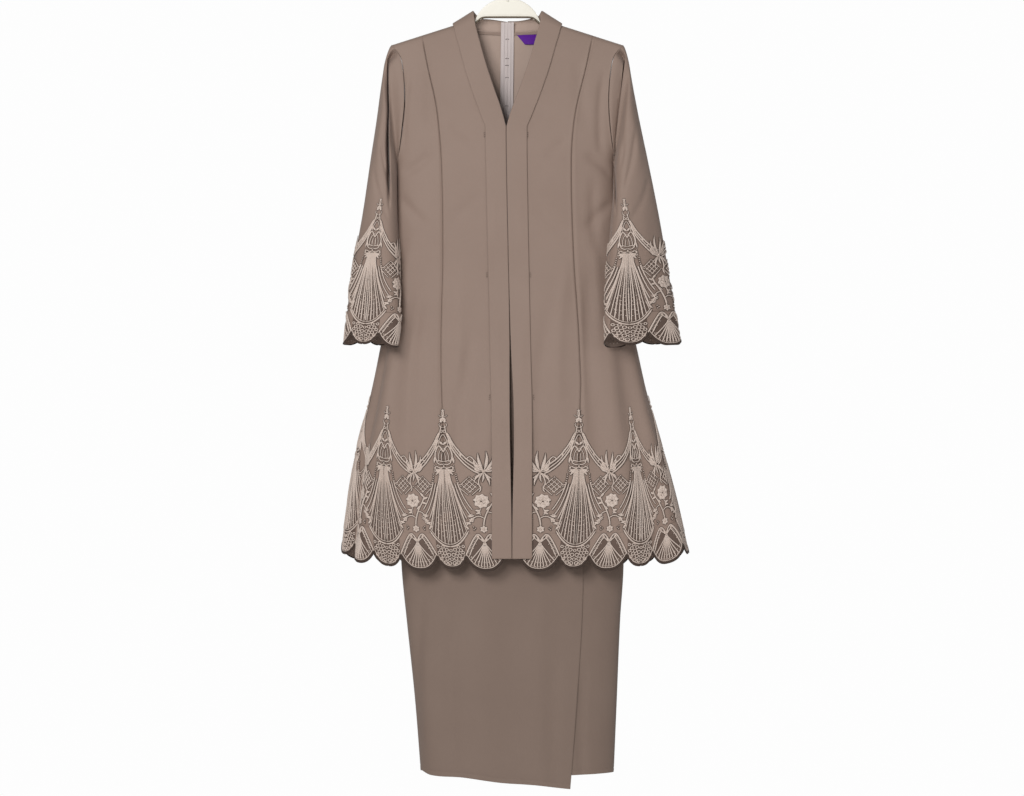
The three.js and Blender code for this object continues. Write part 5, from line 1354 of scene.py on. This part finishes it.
LACE_LIFT = 0.8
for side in (-1, 1):
    scale = hem_scale(side)

    def on_hem(drawn, side=side, scale=scale):
        u = np.clip(drawn[:, 0] * scale, 0.6, hem_girth(side) - 0.2)
        turn, drop = hem_place(side, u, drawn[:, 1])
        lift = LACE_LIFT + drawn[:, 2] + body_creases(side, turn, drop)
        return body_point(side, turn, drop, lift)

    for part, pairs in (("front", range(3)), ("back", range(3, 6))):
        bm = bmesh.new()
        for pair in pairs:
            start = OPENING + pair * (FAN + SMALL)
            laid_lace(bm, fan_mesh, start + FAN / 2)
            laid_lace(bm, small_half_mesh, start + FAN + SMALL / 2)
            if pair < 5:
                laid_lace(bm, small_half_mesh, start + FAN + SMALL / 2, True)
        node = f"hem_lace_{part}_{SIDE_NAMES[side]}"
        lace_piece(node, side, bm, on_hem, f"{part}_side_{SIDE_NAMES[side]}")

CUFF_START = {-1: 37, 1: 11}
CUFF_RISE = 266 / LACE_TOP
for side in (-1, 1):
    scale = cuff_lengths[side][-1] / (2 * (FAN + SMALL))

    def on_cuff(drawn, side=side, scale=scale):
        around = cuff_round(side, CUFF_START[side] + drawn[:, 0] * scale)
        down = down_at(side, around, drawn[:, 1] * CUFF_RISE)
        return sleeve_point(side, down, around, LACE_LIFT + drawn[:, 2] + sleeve_creases(side, around, down))

    for part, start in (("a", 0), ("b", FAN + SMALL)):
        bm = bmesh.new()
        laid_lace(bm, small_half_mesh, start + SMALL / 2)
        laid_lace(bm, small_half_mesh, start + SMALL / 2, True)
        laid_lace(bm, fan_mesh, start + SMALL + FAN / 2)
        node = f"cuff_lace_{SIDE_NAMES[side]}_{part}"
        lace_piece(node, side, bm, on_cuff, f"sleeve_{SIDE_NAMES[side]}")
for mesh in (fan_mesh, small_half_mesh):
    bpy.data.meshes.remove(mesh)


# ------------------------------------------------------------------ the hanger
# A moulded garment hanger in cream plastic: a flat arched hub with a rim along its foot, two rounded arms
# with a notch each for the skirt's ribbons, and a plain hook. Its edges are soft, with a faint satin gloss.
made, maker, place, shader = finish_of("cream_plastic", (244, 239, 226), Specular_IOR_Level=0.5)
scuffs = maker.noise(place, 70, 4, 0.6)
dust = maker.noise(place, 9, 3)
feed(
    shader,
    Base_Color=(dust * 0.6 + scuffs * 0.4).blend((236, 230, 215), (249, 245, 234)),
    Roughness=0.3 + scuffs * 0.16,
    Normal=bumped(maker, scuffs, 0.0002, 0.3),
)
cream_plastic = made
# Painted shade: the rim along the hub's foot is the same cream plastic, coloured dark brown for the shade
# under it, with a mottle in that shade.
made, maker, place, shader = finish_of("rim_painted_shade", (150, 136, 120), Specular_IOR_Level=0.4)
painted_shade_mottle = maker.noise(place, 120, 3)
feed(shader, Base_Color=painted_shade_mottle.blend((88, 76, 62), (136, 122, 104)), Roughness=0.4 + painted_shade_mottle * 0.2)
rim_painted_shade = made
HUB = {"x": -2.9, "drop": 132, "radius": 62}
ARM = {"from": 46, "tip": 199, "gap": 0.8, "dip": 4, "thick": 9.4, "neck": 17, "end": 12}
NOTCH = {"x": 140, "wide": 10, "deep": 3.6}
HOOK = {"inner": 20, "wire": 8, "stem_top": -47, "opens": 205}


def rounded(angle, power):
    """A place on a ring that is squarer the lower its power."""
    return [math.copysign(abs(f) ** power, f) for f in (math.cos(angle), math.sin(angle))]


def tube(bm, rings, sides):
    """A tube through rings, each of which gives a place at an angle, with both ends closed."""
    last = len(rings) - 1
    new = grid_verts(bm, last, sides)
    for vert in new:
        i, j = round((vert.co.x + 0.5) * last), round((vert.co.y + 0.5) * sides)
        vert.co = rings[i](2 * math.pi * j / sides)
    bmesh.ops.remove_doubles(bm, verts=new, dist=1e-5)
    rims = [edge for edge in bm.edges if edge.is_boundary]
    bmesh.ops.holes_fill(bm, edges=rims, sides=sides + 2)


def arm_ring(way, x):
    share = (x - ARM["from"]) / (ARM["tip"] - ARM["from"])
    end = min(max((share - 0.93) / 0.07, 0), 1) ** 2
    plain = -shoulder_drop(x) - CLOTH - ARM["gap"]
    lowered = ARM["dip"] * (1 - float(ease((x - 84) / 16))) + 5 * end
    in_notch = float(ease((NOTCH["wide"] / 2 + 1.2 - abs(x - NOTCH["x"])) / 1.6))
    top = lerp(plain - lowered, -shoulder_drop(NOTCH["x"]) - CLOTH - ARM["gap"] - NOTCH["deep"], in_notch)
    bottom = plain - lerp(ARM["neck"], ARM["end"], share) + 15 * (1 - float(ease((x - 42) / 36)))

    def at(angle):
        c, s = rounded(angle, 0.85)
        y, z = way * ARM["thick"] / 2 * (1 - 0.35 * end) * c, (top + bottom) / 2 + (top - bottom) / 2 * s
        return Vector((HUB["x"] + way * x, y, z)) / 1000

    return at


bm = bmesh.new()
for way in (-1, 1):
    xs = np.concatenate([
        np.linspace(ARM["from"], 132, 24), np.linspace(133, 147, 22), np.linspace(149, 192, 12),
        [194, 196, 197.5, 198.5, ARM["tip"]],
    ])
    tube(bm, [arm_ring(way, x) for x in xs], 20)
HUB_HALF = 60.4
hub_foot = curve([(0, -105), (38, -105), (43, -105.4), (52, -110), (HUB_HALF, -118.5)])


def hub_ring(x):
    """The hub is a flat plate under its arch, with rounded edges."""
    top, bottom = -HUB["drop"] + math.sqrt(HUB["radius"] ** 2 - x**2), float(hub_foot(abs(x)))

    def at(angle):
        c, s = rounded(angle, 0.3)
        return Vector((HUB["x"] + x, 2.4 * c, (top + bottom) / 2 + (top - bottom) / 2 * s)) / 1000

    return at


tube(bm, [hub_ring(x) for x in HUB_HALF * np.sin(np.linspace(-math.pi / 2, math.pi / 2, 61))], 28)


def swept(points, half_deep, half_high, squarish=0.8):
    """Rings of a rim that follows points (x, z), deep along Y."""
    line = curve([(i, *p) for i, p in enumerate(points)])
    made_rings = []
    for t in np.linspace(0, len(points) - 1, 16 * len(points)):
        x, z = float(line(t, 1)), float(line(t, 2))
        dx, dz = float(line(t + 0.02, 1) - line(t - 0.02, 1)), float(line(t + 0.02, 2) - line(t - 0.02, 2))
        size = math.hypot(dx, dz) or 1.0

        def at(angle, x=x, z=z, nx=-dz / size, nz=dx / size):
            c, s = rounded(angle, squarish)
            return Vector((HUB["x"] + x + nx * half_high * s, half_deep * c, z + nz * half_high * s)) / 1000

        made_rings.append(at)
    return made_rings


before = set(bm.faces)
rim_half = [(20, -104.8), (43, -105.4), (52, -110.5), (61, -119)]
tube(bm, swept([(-x, z) for x, z in rim_half[::-1]] + [(0, -104.8)] + rim_half, 5.4, 1.7), 14)
# The rim's faces take the dark finish, which is painted shade.
for face in bm.faces:
    face.material_index = 0 if face in before else 1
radius = HOOK["inner"] + HOOK["wire"] / 2
hook = [(0, -HUB["drop"] + HUB["radius"] - 6), (3.3, HOOK["stem_top"] - 12), (5.9, HOOK["stem_top"] - 3)]
hook += [
    around_place(-HUB["x"], -HOOK["inner"], radius, math.radians(angle))
    for angle in range(-50, HOOK["opens"] + 1, 17)
]
tube(bm, swept(hook, HOOK["wire"] / 2, HOOK["wire"] / 2, 1.0), 16)
bmesh.ops.recalc_face_normals(bm, faces=bm.faces)
for face in bm.faces:
    face.smooth = True
moulding = made_of("hanger_moulding", bm, cream_plastic, rim_painted_shade)
moulding.modifiers.new("keep_flat", "WEIGHTED_NORMAL").keep_sharp = True
fitted(moulding, "plastic", "hanger")


# ------------------------------------------------------------------ tapes, label, ribbons and zip
# Woven polyester tapes finish the zip inside the centre back, tacked here and there. A bare satin label is
# sewn under the right back neck. Two narrow ribbons carry the skirt. The zip's pull hangs outside.
def woven_finish(name, low, high, roughness, ribs):
    made, maker, place, shader = finish_of(name, high, Sheen_Weight=0.05, Specular_IOR_Level=0.25)
    woven = maker.add("ShaderNodeTexCoord", out=2)
    warp, weft = maker.wave(woven, ribs, "X"), maker.wave(woven, ribs * 0.7, "Y")
    fuzz = maker.noise(place, 700, 2)
    weave = warp * 0.6 + weft * 0.4
    feed(
        shader,
        Base_Color=(weave * 0.5 + fuzz * 0.5).blend(low, high),
        Roughness=roughness + fuzz * 0.12,
        Normal=bumped(maker, weave + fuzz * 0.3, 0.0002, 0.5),
    )
    return made


tape_cloth = woven_finish("tape_cloth", (196, 184, 180), (226, 214, 212), 0.6, 420)
label_satin = woven_finish("label_satin", (72, 0, 126), (104, 6, 168), 0.4, 900)
TAPE = {"from": 0.2, "to": 11.8, "top": 112, "bottom": 640}
TAPE_LIFT = CLOTH + 2.1
LABEL = {"top": 133, "bottom": 152, "from_top": 15.5, "from_bottom": 32, "to": 62}


def inside_place(side, x, drop, lift):
    return body_point(side, math.pi - turn_of(side, x, drop), drop, lift)


for side in (-1, 1):
    a, d = np.meshgrid(np.array([0, 0.04, 0.1, 0.3, 0.44, 0.47, 0.5, 0.53, 0.56, 0.7, 0.9, 0.96, 1]),
                       np.linspace(TAPE["top"], TAPE["bottom"], 150))
    ribs = 0.7 * np.exp(-(((a - 0.5) / 0.06) ** 2)) + 0.5 * np.exp(-((a / 0.08) ** 2))
    lift = -TAPE_LIFT - ribs + 0.2 * np.sin(d / 21 + side)
    points = inside_place(side, lerp(TAPE["from"], TAPE["to"], a), d, lift)
    name = f"zip_tape_{SIDE_NAMES[side]}"
    tape = grid_piece(name, points, (0, -1, 0), [name], tape_cloth, 0.6, "tape", (0.012, 0.53))
    as_sheet(name, tape, (0.0125, 0.53), [f"back_centre_{SIDE_NAMES[side]}_cloth"])

a, d = np.meshgrid(np.linspace(0, 1, 25), np.linspace(LABEL["top"], LABEL["bottom"], 12))
down = (d - LABEL["top"]) / (LABEL["bottom"] - LABEL["top"])
x = lerp(lerp(LABEL["from_top"], LABEL["from_bottom"], down), LABEL["to"], a)
points = inside_place(1, x, d, -CLOTH - LIFT - 0.8 - 2.2 * down**1.5 * (0.6 + 0.4 * np.sin(a * 5)))
label = grid_piece("neck_label", points, (0, -1, 0), ["neck_label"], label_satin, 0.5, "label", (0.046, 0.02))
as_sheet("neck_label", label, (0.048, 0.022), ["back_centre_right_cloth"], 0.00085)

# Tack stitches on the tapes, the bands and the label, as small flat bars of thread.
bm = bmesh.new()


def stitch(bm, start, end, thick=0.7):
    start, end = Vector(start), Vector(end)
    new = bmesh.ops.create_icosphere(bm, subdivisions=2, radius=0.5)["verts"]
    way = end - start
    turn = Vector((0, 0, 1)).rotation_difference(way).to_matrix()
    for vert in new:
        sized = Vector((vert.co.x * thick, vert.co.y * thick, vert.co.z * (way.length + thick)))
        vert.co = (turn @ sized + (start + end) / 2) / 1000


for drop in (142, 176.5, 189, 211, 262, 330, 400, 480, 560, 625):
    for side in (-1, 1):
        ends = [inside_place(side, x, drop + slant, -TAPE_LIFT - 0.8) for x, slant in ((0.7, 0), (3.0, 0.8))]
        stitch(bm, *ends, 1.1)
for side in (-1, 1):
    for drop in (318, 569, 788):
        turn = turn_of(side, 37.6, drop)
        for shift in (-3.5, 0, 3.5):
            at = body_point(side, turn, drop + shift, LIFT + BAND_CLOTH * 0.6)
            stitch(bm, at, body_point(side, turn_of(side, 40.5, drop), drop + shift + 1, 0.4))
for step in np.linspace(0.05, 0.95, 12):
    x, drop = lerp(LABEL["from_top"], LABEL["to"], step), LABEL["top"] + 1.5
    stitch(bm, *[inside_place(1, x + along, drop, -CLOTH - LIFT - 0.9) for along in (0, 2.2)], 0.45)
for face in bm.faces:
    face.smooth = True
fitted(made_of("tack_stitches", bm, painted_shade_and_dark_thread), "lace")

# The coil of the zip, closed between the two tapes.
made, maker, place, shader = finish_of("zip_metal", (150, 134, 124), Metallic=0.55, Specular_IOR_Level=0.5)
brushed = maker.noise(place, 1200, 3)
feed(shader, Base_Color=brushed.blend((128, 112, 102), (168, 152, 141)), Roughness=0.3 + brushed * 0.2)
zip_metal = made
bm = bmesh.new()
for drop in np.arange(TAPE["top"] + 14, TAPE["bottom"] - 2, 1.6):
    for side in (-1, 1):
        at = inside_place(side, 0.3, drop + 0.4 * side, -TAPE_LIFT - 0.2) / 1000
        new = bmesh.ops.create_cube(bm, size=1)["verts"]
        bmesh.ops.scale(bm, vec=(0.0011, 0.0011, 0.0008), verts=new)
        bmesh.ops.translate(bm, vec=at, verts=new)
fitted(made_of("zip_coil", bm, tape_cloth), "zip")

# The pull: a tapering tab with rounded edges and a hole at its foot, hung from the slider's bail.
PULL = {"x": -2.8, "wide": 4.5, "long": 20, "thick": 1.2, "top": 122, "y": 22.8}
bm = bmesh.new()
new = bmesh.ops.create_grid(bm, x_segments=6, y_segments=20, size=0.5)["verts"]
for vert in new:
    t = 0.5 - vert.co.y
    rounding = min(1.0, math.sqrt(max(1 - max(0, (t - 0.88) / 0.12) ** 2, 0)) + 0.001)
    half = lerp(PULL["wide"] / 3, PULL["wide"] / 2, t) * rounding
    x, z = PULL["x"] + vert.co.x * 2 * half, -PULL["top"] - t * PULL["long"]
    vert.co = Vector((x, PULL["y"] + 0.2, z)) / 1000
hole_middle = Vector((PULL["x"], PULL["y"], -PULL["top"] - 16)) / 1000
hole = [face for face in bm.faces if (face.calc_center_median() - hole_middle).length < 0.0011]
bmesh.ops.delete(bm, geom=hole, context="FACES")
for face in bm.faces:
    face.smooth = True
tab = made_of("zip_pull_tab", bm, zip_metal)
wall = tab.modifiers.new("wall", "SOLIDIFY")
wall.thickness, wall.offset = PULL["thick"] / 1000, 0
edge = tab.modifiers.new("edge", "BEVEL")
edge.width, edge.segments = 0.0003, 2
fitted(tab, "zip", "zip_pull")

# The ribbons: from the waistband in front, over the arm's notch, and down to the waistband behind.
RIBBON = {"wide": 7, "thick": 0.8, "front_y": 18.3, "back_y": 15.6, "end": 541}
notch_floor = -shoulder_drop(NOTCH["x"]) - CLOTH - ARM["gap"] - NOTCH["deep"]
beside = ARM["thick"] / 2 + SEAM
strands = [
    [(y, -RIBBON["end"]), (y - 1, -WAIST_TOP + 15), (beside + 2, notch_floor - 60), (beside, notch_floor - 9),
     (beside - 0.2, notch_floor - 3), (beside - 2, notch_floor + SEAM - 0.2)]
    for y in (RIBBON["front_y"], RIBBON["back_y"])
]
route = [(-y, z) for y, z in strands[0]] + [(0, notch_floor + SEAM)] + [(y, z) for y, z in strands[1][::-1]]
spaced = np.concatenate([[0], np.cumsum([math.dist(a, b) for a, b in zip(route[:-1], route[1:])])])
ribbon_line = curve([(at, *p) for at, p in zip(spaced, route)])
for side in (-1, 1):
    a, t = np.meshgrid(np.array([0, 0.06, 0.5, 0.94, 1]), np.linspace(0, spaced[-1], 190))
    dy, dz = ribbon_line(t + 0.5) - ribbon_line(t - 0.5), ribbon_line(t + 0.5, 2) - ribbon_line(t - 0.5, 2)
    size = np.maximum(np.hypot(dy, dz), 1e-9)
    out = RIBBON["thick"] - 0.2 * (np.abs(a - 0.5) > 0.45)
    x = HUB["x"] + side * NOTCH["x"] + (a - 0.5) * RIBBON["wide"]
    points = np.stack([x, ribbon_line(t) - dz / size * out, ribbon_line(t, 2) + dy / size * out], -1)
    name = f"skirt_loop_{SIDE_NAMES[side]}"
    ribbon = grid_piece(name, points, (0, 0, 1), [name], tape_cloth, 0.7, "tape", (0.007, 0.78))
    cloths["skirt_waistband"]["with_pieces"].append(ribbon)


# ------------------------------------------------------------------ the notes on the sheets of cloth drop their objects
for facts in cloths.values():
    facts.pop("obj")
